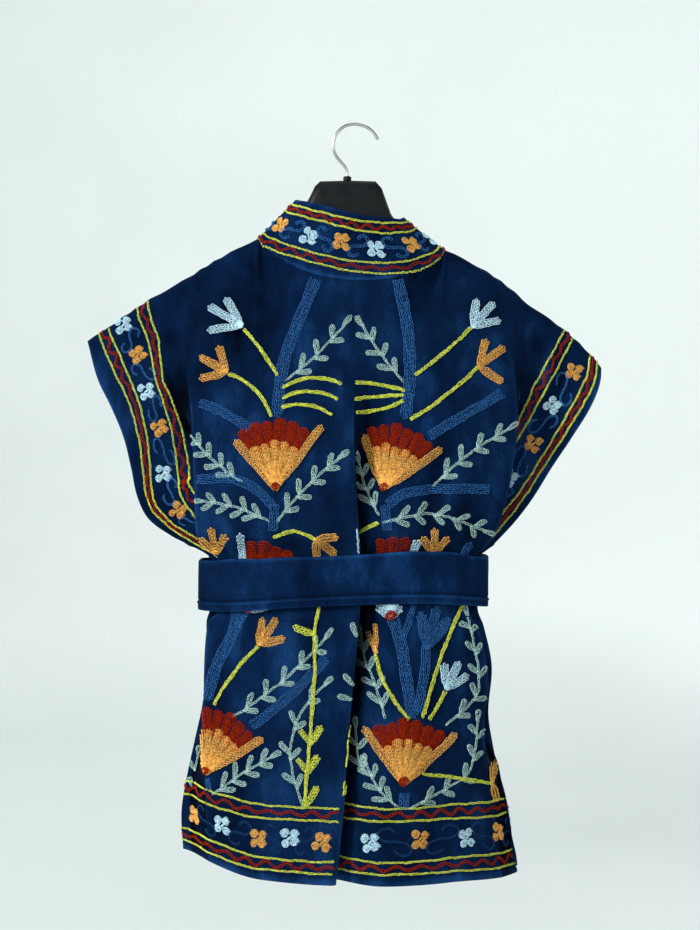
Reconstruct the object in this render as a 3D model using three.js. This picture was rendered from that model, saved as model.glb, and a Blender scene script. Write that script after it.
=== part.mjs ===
// A short velvet jacket with a kimono collar and a cloth belt, hanging on its hanger.
// Millimetres, +Z up, +Y towards the jacket's front.
// The origin is the inside of the hook's crest, where a rail or nail carries it.
import * as THREE from 'three';

// ---------------------------------------------------------------- driving dimensions
const SEAM = 0.3;             // space between two pieces at a seam
const CLOTH = 2.4;            // velvet wall
const COLLAR_WALL = 4;        // collar band, doubled velvet
const BELT_WALL = 4;          // belt, doubled velvet
const YOKE = -285;            // height where the folds of the back begin
const UNDERARM = -473;        // height where sleeve and side seam meet
const HEM = -818;             // height of the hem
const HEM_DROP = 6;           // how much lower the right side of the hem hangs
const HEM_RISE = 14;          // how much its left corner is lifted
const HEM_DIP = 6;            // how much more its right corner hangs
const NECK_SHARE = 0.34;      // share of the back's columns that end on the neck seam
const NECK_EASE = 0.13;       // how far down the back its wall turns from the collar's direction to its own
const NECK_RIDGE = 14;        // radius of the shoulder folds beside the neck
const NECK_FADE = 0.08;       // share of the back's columns over which that radius fades out
const BACK_BOW = 2.3;         // how square the back is across
const YOKE_EASE = 0.8;        // how soon the slope below the shoulders reaches its full depth
const FRONT_TURN = 0.55;      // where across a front panel it begins to turn to the collar seam
const YOKE_TURN = 0.7;        // the same near the shoulder

// ---------------------------------------------------------------- tables
// Shoulder fold from the sleeve tip to the neck: where it runs, and the radius it has over the hanger
const SHOULDER_LEFT = [
  { x: -298, z: -242, ridge: 3.2 },
  { x: -269, z: -222, ridge: 6 },
  { x: -230, z: -196, ridge: 11 },
  { x: -191, z: -174, ridge: 14 },
  { x: -152, z: -150, ridge: 14 },
  { x: -108, z: -127, ridge: 14 },
];
const SHOULDER_RIGHT = [
  { x: 275.5, z: -272, ridge: 3.2 },
  { x: 262, z: -255, ridge: 4 },
  { x: 233, z: -228, ridge: 7 },
  { x: 195, z: -201, ridge: 13 },
  { x: 168, z: -178, ridge: 14 },
  { x: 141, z: -160, ridge: 14 },
  { x: 102.5, z: -140, ridge: 14 },
];

// Free ends of each level section: sleeve opening above the underarm, side seam below it
const SIDES = [
  { z: -242, left: -298, right: 277, y: 0, open: 0 },
  { z: -285, left: -285.5, right: 275, y: 0, open: 6 },
  { z: -314, left: -271, right: 264, y: 0, open: 10 },
  { z: -348, left: -256.5, right: 243, y: 0, open: 12 },
  { z: -384, left: -247.5, right: 219, y: 0, open: 12 },
  { z: -415, left: -241, right: 200, y: 0, open: 11 },
  { z: -441, left: -228, right: 181, y: 0, open: 8 },
  { z: -460, left: -202, right: 164, y: -2, open: 4 },
  { z: -473, left: -176, right: 151, y: -4, open: 0 },
  { z: -483, left: -161, right: 138, y: -7, open: 0 },
  { z: -512, left: -160, right: 137, y: -8, open: 0 },
  { z: -541, left: -160, right: 138, y: -9, open: 0 },
  { z: -556, left: -164, right: 144, y: -10, open: 0 },
  { z: -600, left: -163, right: 153, y: -12, open: 0 },
  { z: -650, left: -168, right: 149, y: -14, open: 0 },
  { z: -690, left: -176, right: 155, y: -16, open: 0 },
  { z: -740, left: -186, right: 164, y: -18, open: 0 },
  { z: -776, left: -191, right: 171, y: -19, open: 0 },
  { z: -818, left: -189, right: 180, y: -20, open: 0 },
];

// How far the back stands out in its middle and how fast that falls off to the sides,
// then how far the front stands out and how flat it is across
const STANCE = [
  { z: -180, back: 52, soft: 1.8, front: 30, flat: 2.4 },
  { z: -230, back: 60, soft: 1.8, front: 32, flat: 2.4 },
  { z: -285, back: 67, soft: 1.7, front: 34, flat: 2.6 },
  { z: -350, back: 73, soft: 1.5, front: 35, flat: 2.8 },
  { z: -430, back: 77, soft: 1.3, front: 36, flat: 3 },
  { z: -456, back: 74, soft: 1.1, front: 36, flat: 3.2 },
  { z: -473, back: 59.4, soft: 0.9, front: 33, flat: 3.4 },
  { z: -483, back: 58, soft: 0.85, front: 32, flat: 3.4 },
  { z: -541, back: 58, soft: 0.85, front: 32, flat: 3.4 },
  { z: -556, back: 66, soft: 1, front: 35, flat: 3.6 },
  { z: -620, back: 80, soft: 1, front: 37, flat: 3.6 },
  { z: -700, back: 92, soft: 1, front: 38, flat: 3.6 },
  { z: -818, back: 112, soft: 1, front: 39, flat: 3.6 },
];

// The three deep folds of the back: where the front layer's edge lies, how far the cloth turns
// there in degrees, the run of the hidden layer, and the radius of the two turns
const FOLD_LEFT = [
  { z: -285, edge: -184, turn: 4, run: 16, radius: 6 },
  { z: -320, edge: -180, turn: 60, run: 16, radius: 6 },
  { z: -360, edge: -176, turn: 120, run: 18, radius: 6 },
  { z: -420, edge: -173, turn: 158, run: 22, radius: 5.5 },
  { z: -456, edge: -172, turn: 162, run: 22, radius: 5 },
  { z: -473, edge: -163, turn: 154, run: 16, radius: 4.6 },
  { z: -483, edge: -149, turn: 150, run: 14, radius: 4.4 },
  { z: -541, edge: -149, turn: 150, run: 14, radius: 4.4 },
  { z: -556, edge: -161, turn: 150, run: 14, radius: 4.6 },
  { z: -650, edge: -165, turn: 124, run: 16, radius: 5 },
  { z: -700, edge: -165, turn: 94, run: 18, radius: 6 },
  { z: -745, edge: -163, turn: 46, run: 18, radius: 6 },
  { z: -818, edge: -158, turn: 24, run: 18, radius: 6.5 },
];
const FOLD_RIGHT = [
  { z: -285, edge: 178, turn: 44, run: 16, radius: 6 },
  { z: -320, edge: 179, turn: 96, run: 16, radius: 6 },
  { z: -360, edge: 176, turn: 142, run: 18, radius: 6 },
  { z: -420, edge: 166, turn: 158, run: 20, radius: 5.5 },
  { z: -456, edge: 154, turn: 160, run: 18, radius: 5 },
  { z: -473, edge: 141, turn: 154, run: 15, radius: 4.6 },
  { z: -483, edge: 126, turn: 150, run: 14, radius: 4.4 },
  { z: -541, edge: 126, turn: 150, run: 14, radius: 4.4 },
  { z: -556, edge: 136, turn: 132, run: 14, radius: 4.6 },
  { z: -610, edge: 147, turn: 104, run: 14, radius: 5 },
  { z: -660, edge: 142, turn: 120, run: 16, radius: 5 },
  { z: -705, edge: 147, turn: 72, run: 16, radius: 6 },
  { z: -750, edge: 154, turn: 36, run: 16, radius: 6 },
  { z: -818, edge: 162, turn: 20, run: 16, radius: 6.5 },
];
const PLEAT = [
  { z: -285, edge: 1, turn: 8, run: 14, radius: 4, relax: 50 },
  { z: -330, edge: 1, turn: 46, run: 15, radius: 4, relax: 55 },
  { z: -385, edge: 2, turn: 110, run: 18, radius: 4, relax: 60 },
  { z: -430, edge: 4, turn: 152, run: 20, radius: 4, relax: 60 },
  { z: -476, edge: 7, turn: 164, run: 20, radius: 3.9, relax: 56 },
  { z: -512, edge: 7, turn: 168, run: 18, radius: 3.6, relax: 46 },
  { z: -545, edge: 6, turn: 166, run: 20, radius: 3.9, relax: 50 },
  { z: -600, edge: 0.5, turn: 160, run: 24, radius: 4.4, relax: 60 },
  { z: -680, edge: -7, turn: 156, run: 28, radius: 5, relax: 70 },
  { z: -745, edge: -11, turn: 154, run: 30, radius: 5.4, relax: 74 },
  { z: -818, edge: -19, turn: 152, run: 32, radius: 6, relax: 80 },
];

// Collar band from the left front's hem, up and round the neck, and down the right front:
// its seam edge (sx, sy, sz) and its free edge (fx, fy, fz)
const COLLAR = [
  { sx: -42, sy: 37, sz: -816, fx: 30, fy: 36, fz: -816 },
  { sx: -40, sy: 33, sz: -660, fx: 32, fy: 33, fz: -660 },
  { sx: -38, sy: 31, sz: -515, fx: 34, fy: 32, fz: -515 },
  { sx: -37, sy: 32, sz: -400, fx: 35, fy: 33, fz: -388 },
  { sx: -56, sy: 32, sz: -312, fx: 13, fy: 34, fz: -288 },
  { sx: -88, sy: 28, sz: -222, fx: -22, fy: 30, fz: -192 },
  { sx: -103, sy: 22, sz: -172, fx: -48, fy: 22, fz: -130 },
  { sx: -107.5, sy: 14.5, sz: -143, fx: -60, fy: 12, fz: -98 },
  { sx: -108, sy: 0, sz: -127, fx: -64, fy: -2, fz: -84 },
  { sx: -100, sy: -17, sz: -138.5, fx: -60, fy: -15, fz: -85.5 },
  { sx: -80, sy: -34, sz: -155, fx: -48, fy: -28, fz: -90 },
  { sx: -45, sy: -47, sz: -172, fx: -26, fy: -39, fz: -97 },
  { sx: 2, sy: -52, sz: -180, fx: 2, fy: -42, fz: -105 },
  { sx: 47, sy: -47, sz: -176, fx: 30, fy: -38, fz: -108 },
  { sx: 79, sy: -33, sz: -163, fx: 45, fy: -27, fz: -107 },
  { sx: 95.5, sy: -16, sz: -150, fx: 52, fy: -14, fz: -105.5 },
  { sx: 102.5, sy: 0, sz: -140, fx: 54, fy: -2, fz: -104 },
  { sx: 101.5, sy: 14.5, sz: -156, fx: 51, fy: 12, fz: -116 },
  { sx: 97, sy: 22, sz: -182, fx: 42, fy: 23, fz: -144 },
  { sx: 80, sy: 29, sz: -232, fx: 14, fy: 32, fz: -203 },
  { sx: 46, sy: 40, sz: -322, fx: -24, fy: 43, fz: -300 },
  { sx: 24, sy: 41, sz: -404, fx: -47, fy: 42, fz: -396 },
  { sx: 20, sy: 40, sz: -515, fx: -51, fy: 41, fz: -515 },
  { sx: 20, sy: 42, sz: -660, fx: -51, fy: 42, fz: -660 },
  { sx: 22, sy: 45, sz: -824, fx: -49, fy: 44, fz: -824 },
];
const COLLAR_NECK_LEFT = 8;   // row where the band crosses the left shoulder
const COLLAR_NECK_RIGHT = 16; // row where it crosses the right shoulder

// ---------------------------------------------------------------- helpers
const clamp = (value, low, high) => Math.min(high, Math.max(low, value));
const mix = (a, b, t) => a + (b - a) * t;
const ease = (t) => { const c = clamp(t, 0, 1); return c * c * (3 - 2 * c); };
const radians = (degrees) => degrees * Math.PI / 180;

// A smooth value between rows i and i + 1 of a table, through all of its rows
function between(table, column, i, t, key) {
  const step = (low, high) => (key ? table[high][key] - table[low][key] : high - low);
  const slope = (j) => {
    const low = Math.max(j - 1, 0);
    const high = Math.min(j + 1, table.length - 1);
    return (table[high][column] - table[low][column]) / step(low, high);
  };
  const span = step(i, i + 1);
  const t2 = t * t;
  const t3 = t2 * t;
  return (2 * t3 - 3 * t2 + 1) * table[i][column] + (t3 - 2 * t2 + t) * span * slope(i)
    + (3 * t2 - 2 * t3) * table[i + 1][column] + (t3 - t2) * span * slope(i + 1);
}

// A table's column where its key column has the given value
function read(table, key, column, value) {
  const rising = table[table.length - 1][key] > table[0][key];
  let i = 0;
  while (i < table.length - 2 && (rising ? value > table[i + 1][key] : value < table[i + 1][key])) i += 1;
  const t = clamp((value - table[i][key]) / (table[i + 1][key] - table[i][key]), 0, 1);
  return between(table, column, i, t, key);
}

// A table's column at a station, counted in rows
function station(table, column, place) {
  const i = clamp(Math.floor(place), 0, table.length - 2);
  return between(table, column, i, clamp(place - i, 0, 1));
}

const sideAt = (z, column) => read(SIDES, 'z', column, z);
const stanceAt = (z, column) => read(STANCE, 'z', column, z);
const seamPoint = (place) => new THREE.Vector3(
  station(COLLAR, 'sx', place), station(COLLAR, 'sy', place), station(COLLAR, 'sz', place));
const freePoint = (place) => new THREE.Vector3(
  station(COLLAR, 'fx', place), station(COLLAR, 'fy', place), station(COLLAR, 'fz', place));

// ---------------------------------------------------------------- folds of the back
// One fold at a height: its two turns and the hidden run between them
function foldAt(table, z) {
  const turn = radians(read(table, 'z', 'turn', z));
  const run = read(table, 'z', 'run', z);
  const radius = read(table, 'z', 'radius', z);
  return {
    turn,
    run,
    radius,
    edge: read(table, 'z', 'edge', z),
    reach: radius * Math.sin(Math.min(turn, Math.PI / 2)),
    advance: 2 * radius * Math.sin(turn) + run * Math.cos(turn),
    depth: 2 * radius * (1 - Math.cos(turn)) + run * Math.sin(turn),
  };
}

// Place along a fold, t from 0 to 1: first turn, run, second turn. Gives the way across and the way in.
const TURN_SHARE = 0.38;
function alongFold(fold, t) {
  const { turn, run, radius } = fold;
  const first = clamp(t / TURN_SHARE, 0, 1) * turn;
  const middle = clamp((t - TURN_SHARE) / (1 - 2 * TURN_SHARE), 0, 1) * run;
  const last = clamp((t - 1 + TURN_SHARE) / TURN_SHARE, 0, 1) * turn;
  return {
    across: radius * Math.sin(first) + middle * Math.cos(turn)
      + radius * (Math.sin(turn) - Math.sin(turn - last)),
    inward: radius * (1 - Math.cos(first)) + middle * Math.sin(turn)
      + radius * (Math.cos(turn - last) - Math.cos(turn)),
  };
}

// Column stations of the back, -1 at the left end to 1 at the right end
const STATIONS = {
  leftOuter: -0.72,
  leftInner: -0.52,
  pleatStart: -0.06,
  pleatEnd: 0.14,
  rightInner: 0.54,
  rightOuter: 0.74,
};

// How far the back stands out at x: the ends keep what the side folds give back
function backOut(x, z, left, right, leftDepth, rightDepth) {
  const middle = (left + right) / 2;
  const end = x < middle ? left : right;
  const depth = x < middle ? leftDepth : rightDepth;
  const u = clamp(Math.abs((x - middle) / (end - middle)), 0, 1);
  const endOut = CLOTH + SEAM / 2 + sideAt(z, 'open') - sideAt(z, 'y') + depth;
  return endOut + (stanceAt(z, 'back') - endOut) * (1 - u ** BACK_BOW) ** stanceAt(z, 'soft');
}

// A point of the back's outer face in a level section, s from -1 to 1
function backLevel(s, z) {
  const left = sideAt(z, 'left');
  const right = sideAt(z, 'right');
  const foldLeft = foldAt(FOLD_LEFT, z);
  const foldRight = foldAt(FOLD_RIGHT, z);
  const pleat = foldAt(PLEAT, z);
  const leftStart = foldLeft.edge + foldLeft.reach;
  const leftEnd = leftStart - foldLeft.advance;
  const pleatStart = pleat.edge - pleat.reach;
  const pleatEnd = pleatStart + pleat.advance;
  const rightStart = foldRight.edge - foldRight.reach;
  const rightEnd = rightStart + foldRight.advance;
  const k = STATIONS;
  let x;
  let inward = 0;
  if (s < k.leftOuter) {
    x = mix(left, leftEnd, (s + 1) / (k.leftOuter + 1));
    inward = foldLeft.depth;
  } else if (s < k.leftInner) {
    const place = alongFold(foldLeft, (k.leftInner - s) / (k.leftInner - k.leftOuter));
    x = leftStart - place.across;
    inward = place.inward;
  } else if (s < k.pleatStart) {
    x = mix(leftStart, pleatStart, (s - k.leftInner) / (k.pleatStart - k.leftInner));
  } else if (s < k.pleatEnd) {
    const place = alongFold(pleat, (s - k.pleatStart) / (k.pleatEnd - k.pleatStart));
    x = pleatStart + place.across;
    inward = place.inward;
  } else if (s < k.rightInner) {
    x = mix(pleatEnd, rightStart, (s - k.pleatEnd) / (k.rightInner - k.pleatEnd));
    inward = pleat.depth * (1 - ease((x - pleatEnd) / read(PLEAT, 'z', 'relax', z)));
  } else if (s < k.rightOuter) {
    const place = alongFold(foldRight, (s - k.rightInner) / (k.rightOuter - k.rightInner));
    x = rightStart + place.across;
    inward = place.inward;
  } else {
    x = mix(rightEnd, right, (s - k.rightOuter) / (1 - k.rightOuter));
    inward = foldRight.depth;
  }
  return new THREE.Vector3(x, inward - backOut(x, z, left, right, foldLeft.depth, foldRight.depth), z);
}

// ---------------------------------------------------------------- the back panel
// The collar's station beside a column of the back
function neckStation(s) {
  return mix(COLLAR_NECK_LEFT, COLLAR_NECK_RIGHT, (s + NECK_SHARE) / (2 * NECK_SHARE));
}

// The top edge of the back: left shoulder, neck seam, right shoulder
function backTop(s) {
  if (s < -NECK_SHARE) {
    const x = mix(SHOULDER_LEFT[0].x, SHOULDER_LEFT[5].x, (s + 1) / (1 - NECK_SHARE));
    const rows = SHOULDER_LEFT;
    return { x, z: read(rows, 'x', 'z', x), out: SEAM / 2, ridge: read(rows, 'x', 'ridge', x) };
  }
  if (s > NECK_SHARE) {
    const x = mix(SHOULDER_RIGHT[0].x, SHOULDER_RIGHT[6].x, (1 - s) / (1 - NECK_SHARE));
    const rows = SHOULDER_RIGHT;
    return { x, z: read(rows, 'x', 'z', x), out: SEAM / 2, ridge: read(rows, 'x', 'ridge', x) };
  }
  const point = seamPoint(neckStation(s));
  const ridge = NECK_RIDGE * (1 - ease((NECK_SHARE - Math.abs(s)) / NECK_FADE));
  return { x: point.x, z: point.z, out: Math.max(SEAM / 2, -point.y), ridge };
}

// Above the yoke height: from the top edge, v = 0, to the level section at the yoke, v = 1
function backYoke(s, v) {
  const top = backTop(s);
  const low = backLevel(s, YOKE);
  const tipLeft = SHOULDER_LEFT[0];
  const tipRight = SHOULDER_RIGHT[0];
  const zLeft = mix(tipLeft.z, YOKE, v);
  const zRight = mix(tipRight.z, YOKE, v);
  const bowLeft = sideAt(zLeft, 'left') - mix(tipLeft.x, sideAt(YOKE, 'left'), v);
  const bowRight = sideAt(zRight, 'right') - mix(tipRight.x, sideAt(YOKE, 'right'), v);
  const x = mix(top.x, low.x, v) + mix(bowLeft, bowRight, (s + 1) / 2) * Math.abs(s);
  const z = mix(top.z, YOKE, v);
  const length = Math.hypot(top.x - low.x, top.z - YOKE);
  const drop = v * length;
  const round = drop < top.ridge ? Math.sqrt(2 * top.ridge * drop - drop * drop) : top.ridge;
  const out = top.out + round + (-low.y - top.out - top.ridge) * ease(v) ** YOKE_EASE;
  return new THREE.Vector3(x, -out, z);
}

// The whole back, w from 0 to 1 down to the yoke height, to 2 at the underarm and to 3 at the hem
function hemAt(x) {
  const slope = HEM_DROP * ease((x + 190) / 370);
  return HEM - slope + HEM_RISE * ease((-100 - x) / 90) - HEM_DIP * ease((x - 100) / 80);
}
function backPoint(s, w) {
  if (w <= 1) return backYoke(s, w);
  if (w <= 2) return backLevel(s, mix(YOKE, UNDERARM, w - 1));
  const point = backLevel(s, mix(UNDERARM, HEM, w - 2));
  point.z += (hemAt(point.x) - HEM) * (w - 2);
  return point;
}

// ---------------------------------------------------------------- the front panels
// side is -1 for the left front and 1 for the right.
// s is 0 on the sleeve opening or side seam and 1 on the collar seam.
function collarStation(side, z) {
  // the station where the band's seam edge on one front has the height z
  let high = side < 0 ? COLLAR_NECK_LEFT : COLLAR_NECK_RIGHT;
  let low = side < 0 ? 0 : COLLAR.length - 1;
  for (let i = 0; i < 40; i += 1) {
    const half = (low + high) / 2;
    if (seamPoint(half).z > z) high = half;
    else low = half;
  }
  return (low + high) / 2;
}

function frontLevel(side, s, z) {
  const end = sideAt(z, side < 0 ? 'left' : 'right');
  const seam = seamPoint(collarStation(side, z));
  const x = mix(end, seam.x, s);
  const u = 1 - s;
  const endOut = CLOTH + SEAM / 2 + sideAt(z, 'open') + sideAt(z, 'y');
  const body = Math.max(stanceAt(z, 'front'), endOut);
  const out = endOut + (body - endOut) * (1 - u ** stanceAt(z, 'flat'));
  return new THREE.Vector3(x, mix(out, seam.y, ease((s - FRONT_TURN) / (1 - FRONT_TURN))), z);
}

function frontTop(side, s) {
  const rows = side < 0 ? SHOULDER_LEFT : SHOULDER_RIGHT;
  const x = mix(rows[0].x, rows[rows.length - 1].x, s);
  return { x, z: read(rows, 'x', 'z', x), ridge: read(rows, 'x', 'ridge', x) };
}

function frontYoke(side, s, v) {
  const top = frontTop(side, s);
  const low = frontLevel(side, s, YOKE);
  const tip = (side < 0 ? SHOULDER_LEFT : SHOULDER_RIGHT)[0];
  const seamTop = seamPoint(side < 0 ? COLLAR_NECK_LEFT : COLLAR_NECK_RIGHT);
  const seam = seamPoint(collarStation(side, mix(seamTop.z, YOKE, v)));
  const column = side < 0 ? 'left' : 'right';
  const bowSide = sideAt(mix(tip.z, YOKE, v), column) - mix(tip.x, sideAt(YOKE, column), v);
  const bowSeam = seam.x - mix(seamTop.x, frontLevel(side, 1, YOKE).x, v);
  const x = mix(top.x, low.x, v) + mix(bowSide, bowSeam, s);
  const z = mix(top.z, YOKE, v);
  const drop = v * Math.hypot(top.x - low.x, top.z - YOKE);
  const round = drop < top.ridge ? Math.sqrt(2 * top.ridge * drop - drop * drop) : top.ridge;
  const out = SEAM / 2 + round + (low.y - SEAM / 2 - top.ridge) * ease(v) ** YOKE_EASE;
  const turned = ease((s - YOKE_TURN) / (1 - YOKE_TURN));
  return new THREE.Vector3(x, mix(out, Math.max(seam.y, SEAM / 2), turned), z);
}

function frontPoint(side, s, w) {
  if (w <= 1) return frontYoke(side, s, w);
  if (w <= 2) return frontLevel(side, s, mix(YOKE, UNDERARM, w - 1));
  const point = frontLevel(side, s, mix(UNDERARM, HEM, w - 2));
  point.z += (hemAt(point.x) - HEM) * (w - 2);
  return point;
}

// ---------------------------------------------------------------- walls
// A closed wall between an outer face and the same face moved in by its thickness.
// normal(s, w, n) may turn the direction in which it is moved.
function wall(face, columns, rows, thickness, normal, flip) {
  const positions = [];
  const wide = columns.length;
  const tall = rows.length;
  const step = 1e-4;
  const inner = [];
  for (const w of rows) {
    for (const s of columns) {
      const point = face(s, w);
      const west = face(Math.max(s - step, columns[0]), w);
      const east = face(Math.min(s + step, columns[wide - 1]), w);
      const upper = face(s, Math.max(w - step, rows[0]));
      const lower = face(s, Math.min(w + step, rows[tall - 1]));
      let n = east.sub(west).cross(upper.sub(lower)).normalize();
      if (flip) n.negate();
      n = normal ? normal(s, w, n) : n;
      positions.push(point.x, point.y, point.z);
      inner.push(point.x - n.x * thickness, point.y - n.y * thickness, point.z - n.z * thickness);
    }
  }
  positions.push(...inner);
  const count = wide * tall;
  const index = [];
  const quad = (a, b, c, d) => (flip ? index.push(a, c, b, a, d, c) : index.push(a, b, c, a, c, d));
  const at = (i, j) => j * wide + i;
  for (let j = 0; j + 1 < tall; j += 1) {
    for (let i = 0; i + 1 < wide; i += 1) {
      quad(at(i, j), at(i, j + 1), at(i + 1, j + 1), at(i + 1, j));
      quad(count + at(i, j), count + at(i + 1, j), count + at(i + 1, j + 1), count + at(i, j + 1));
    }
  }
  for (let i = 0; i + 1 < wide; i += 1) {
    quad(at(i, 0), at(i + 1, 0), count + at(i + 1, 0), count + at(i, 0));
    const last = tall - 1;
    quad(at(i + 1, last), at(i, last), count + at(i, last), count + at(i + 1, last));
  }
  for (let j = 0; j + 1 < tall; j += 1) {
    quad(at(0, j + 1), at(0, j), count + at(0, j), count + at(0, j + 1));
    const last = wide - 1;
    quad(at(last, j), at(last, j + 1), count + at(last, j + 1), count + at(last, j));
  }
  const geometry = new THREE.BufferGeometry();
  geometry.setAttribute('position', new THREE.Float32BufferAttribute(positions, 3));
  geometry.setIndex(index);
  geometry.computeVertexNormals();
  return geometry;
}

const spread = (from, to, steps) => Array.from({ length: steps }, (_, i) => mix(from, to, i / steps));

// ---------------------------------------------------------------- collar band
// The band's outer face: s is the station along it, w runs from the seam edge, 0, to the free edge, 1
function collarPoint(s, w) {
  const seam = seamPoint(s);
  const free = freePoint(s);
  const from = 1.2 * SEAM / seam.distanceTo(free);
  return seam.lerp(free, mix(from, 1, w));
}
function collarNormal(place) {
  const step = 1e-3;
  const along = seamPoint(place + step).sub(seamPoint(place - step));
  return freePoint(place).sub(seamPoint(place)).cross(along).negate().normalize();
}

// Directions in which a panel's edges are cut: upright on the shoulder, square to the collar at the neck
function shoulderNormal(x) {
  const rows = x < 0 ? SHOULDER_LEFT : SHOULDER_RIGHT;
  const rise = read(rows, 'x', 'z', x + 1) - read(rows, 'x', 'z', x - 1);
  return new THREE.Vector3(-rise, 0, 2).normalize();
}
// At a sleeve opening or side seam the wall is cut square, and never reaches past the seam's plane
function endNormal(point, shoulderX) {
  const level = point.z > UNDERARM ? 0 : sideAt(point.z, 'y');
  const across = clamp((Math.abs(point.y - level) - SEAM / 2) / CLOTH, 0, 1);
  const upright = shoulderNormal(shoulderX).multiplyScalar(Math.sqrt(1 - across * across));
  return upright.add(new THREE.Vector3(0, Math.sign(point.y - level) * across, 0));
}
function backEdge(s, w, n) {
  if (w < NECK_EASE && Math.abs(s) <= NECK_SHARE) {
    return collarNormal(neckStation(s)).lerp(n, w / NECK_EASE).normalize();
  }
  if (w === 0) return shoulderNormal(backTop(s).x);
  return Math.abs(s) === 1 ? endNormal(backPoint(s, w), backTop(s).x) : n;
}
const frontEdge = (side) => (s, w, n) => {
  if (w === 0) return shoulderNormal(frontTop(side, Math.min(s, 0.98)).x);
  if (s === 1) return collarNormal(collarStation(side, frontPoint(side, 1, w).z));
  return s === 0 ? endNormal(frontPoint(side, 0, w), frontTop(side, 0).x) : n;
};

// ---------------------------------------------------------------- belt
const BELT = { x: -12, y: -8.2, halfWidth: 161, halfDepth: 54.9, square: 2.8, width: 54 };
const BELT_LEVEL = [
  { x: -173, z: -513 },
  { x: -60, z: -507 },
  { x: 30, z: -503 },
  { x: 90, z: -502 },
  { x: 149, z: -509 },
];
const beltLevel = (x) => read(BELT_LEVEL, 'x', 'z', x);
function beltPlan(angle, inset) {
  const power = 2 / BELT.square;
  const c = Math.cos(angle);
  const s = Math.sin(angle);
  return {
    x: BELT.x + (BELT.halfWidth - inset) * Math.sign(c) * Math.abs(c) ** power,
    y: BELT.y + (BELT.halfDepth - inset) * Math.sign(s) * Math.abs(s) ** power,
  };
}
function beltRing(steps) {
  const positions = [];
  const index = [];
  for (let i = 0; i < steps; i += 1) {
    const angle = 2 * Math.PI * (i + 0.5) / steps;
    for (const [inset, rise] of [[0, 0.5], [0, -0.5], [BELT_WALL, -0.5], [BELT_WALL, 0.5]]) {
      const { x, y } = beltPlan(angle, inset);
      positions.push(x, y, beltLevel(beltPlan(angle, 0).x) + rise * BELT.width);
    }
    const next = ((i + 1) % steps) * 4;
    for (let corner = 0; corner < 4; corner += 1) {
      const turn = (corner + 1) % 4;
      index.push(i * 4 + corner, i * 4 + turn, next + turn, i * 4 + corner, next + turn, next + corner);
    }
  }
  const geometry = new THREE.BufferGeometry();
  geometry.setAttribute('position', new THREE.Float32BufferAttribute(positions, 3));
  geometry.setIndex(index);
  geometry.computeVertexNormals();
  return geometry;
}

const KNOT = { halfWidth: 25, halfDepth: 13, halfHeight: 30 };
KNOT.x = BELT.x;
KNOT.y = BELT.y + BELT.halfDepth + SEAM + KNOT.halfDepth;
KNOT.z = beltLevel(BELT.x);
const KNOT_SPREAD = 1.5;      // where the belt's ends leave the knot, from its middle
const END_TOP_WIDTH = 20;     // width of an end as it leaves the knot
const END_WIDTH = 50;
const END_LOWEST = { left: -762, right: -738 };
const END_SWAY = { left: -32, right: 26 };
const END_BACK = 7;           // how far the hanging ends swing back from the knot's middle
const END_WAVE = 2.5;         // depth of their soft wave
const END_OPENING = 2.4;      // how soon an end reaches its full width
const END_SWING = 1.6;        // how soon it reaches its sway
const END_SETTLE = 3;         // how soon it swings back
const END_WAVES = 7;          // the wave's turn over an end's length, in radians

// One end of the belt hanging from the knot: s across from -1 to 1, w down from 0 to 1
function beltEnd(side, s, w) {
  const sideName = side < 0 ? 'left' : 'right';
  const half = mix(END_TOP_WIDTH, END_WIDTH, ease(w * END_OPENING)) / 2;
  const sway = END_SWAY[sideName] * ease(w * END_SWING);
  const centre = KNOT.x + side * (KNOT_SPREAD + END_TOP_WIDTH / 2) + sway;
  const x = centre + s * half;
  const off = clamp((x - KNOT.x) / (KNOT.halfWidth + 4 * SEAM), -0.95, 0.95);
  const top = KNOT.z - (KNOT.halfHeight + 4 * SEAM) * Math.sqrt(1 - off * off);
  const settled = mix(KNOT.y + BELT_WALL / 2, KNOT.y - END_BACK, ease(w * END_SETTLE));
  const y = settled + END_WAVE * Math.sin(w * END_WAVES + side) * w;
  return new THREE.Vector3(x, y, mix(top, END_LOWEST[sideName], w));
}

// ---------------------------------------------------------------- hanger
// Sections of the hanger from its left tip to its right tip: top, height and half of its depth
const HANGER = [
  { x: -214, top: -193, height: 12, half: 7 },
  { x: -208, top: -188.4, height: 18, half: 9.6 },
  { x: -191, top: -177.8, height: 22, half: 10.4 },
  { x: -152, top: -154, height: 24, half: 10.4 },
  { x: -118, top: -137.4, height: 25, half: 9.4 },
  { x: -102, top: -135, height: 25, half: 8 },
  { x: -85, top: -121, height: 28, half: 8 },
  { x: -64, top: -102, height: 36, half: 8.4 },
  { x: -51, top: -82.5, height: 44, half: 11.4 },
  { x: -44, top: -68, height: 54, half: 11.6 },
  { x: -38, top: -62.4, height: 58, half: 12 },
  { x: -7, top: -61.6, height: 58, half: 12.4 },
  { x: 24, top: -62.4, height: 60, half: 12 },
  { x: 31, top: -70, height: 56, half: 11.6 },
  { x: 41, top: -98, height: 36, half: 11.2 },
  { x: 52, top: -116, height: 30, half: 8.4 },
  { x: 78, top: -136, height: 26, half: 8 },
  { x: 98, top: -148, height: 24, half: 8 },
  { x: 112, top: -150, height: 24, half: 9 },
  { x: 141, top: -164.2, height: 23, half: 10.4 },
  { x: 168, top: -182.4, height: 22, half: 10 },
  { x: 192, top: -203.6, height: 18, half: 8.6 },
  { x: 198, top: -209, height: 12, half: 6.4 },
];
const HUB_TOP = Math.max(...HANGER.map((row) => row.top));
const HANGER_SQUARE = 2.3;    // how square its sections are
const HANGER_SIDES = 14;
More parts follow.
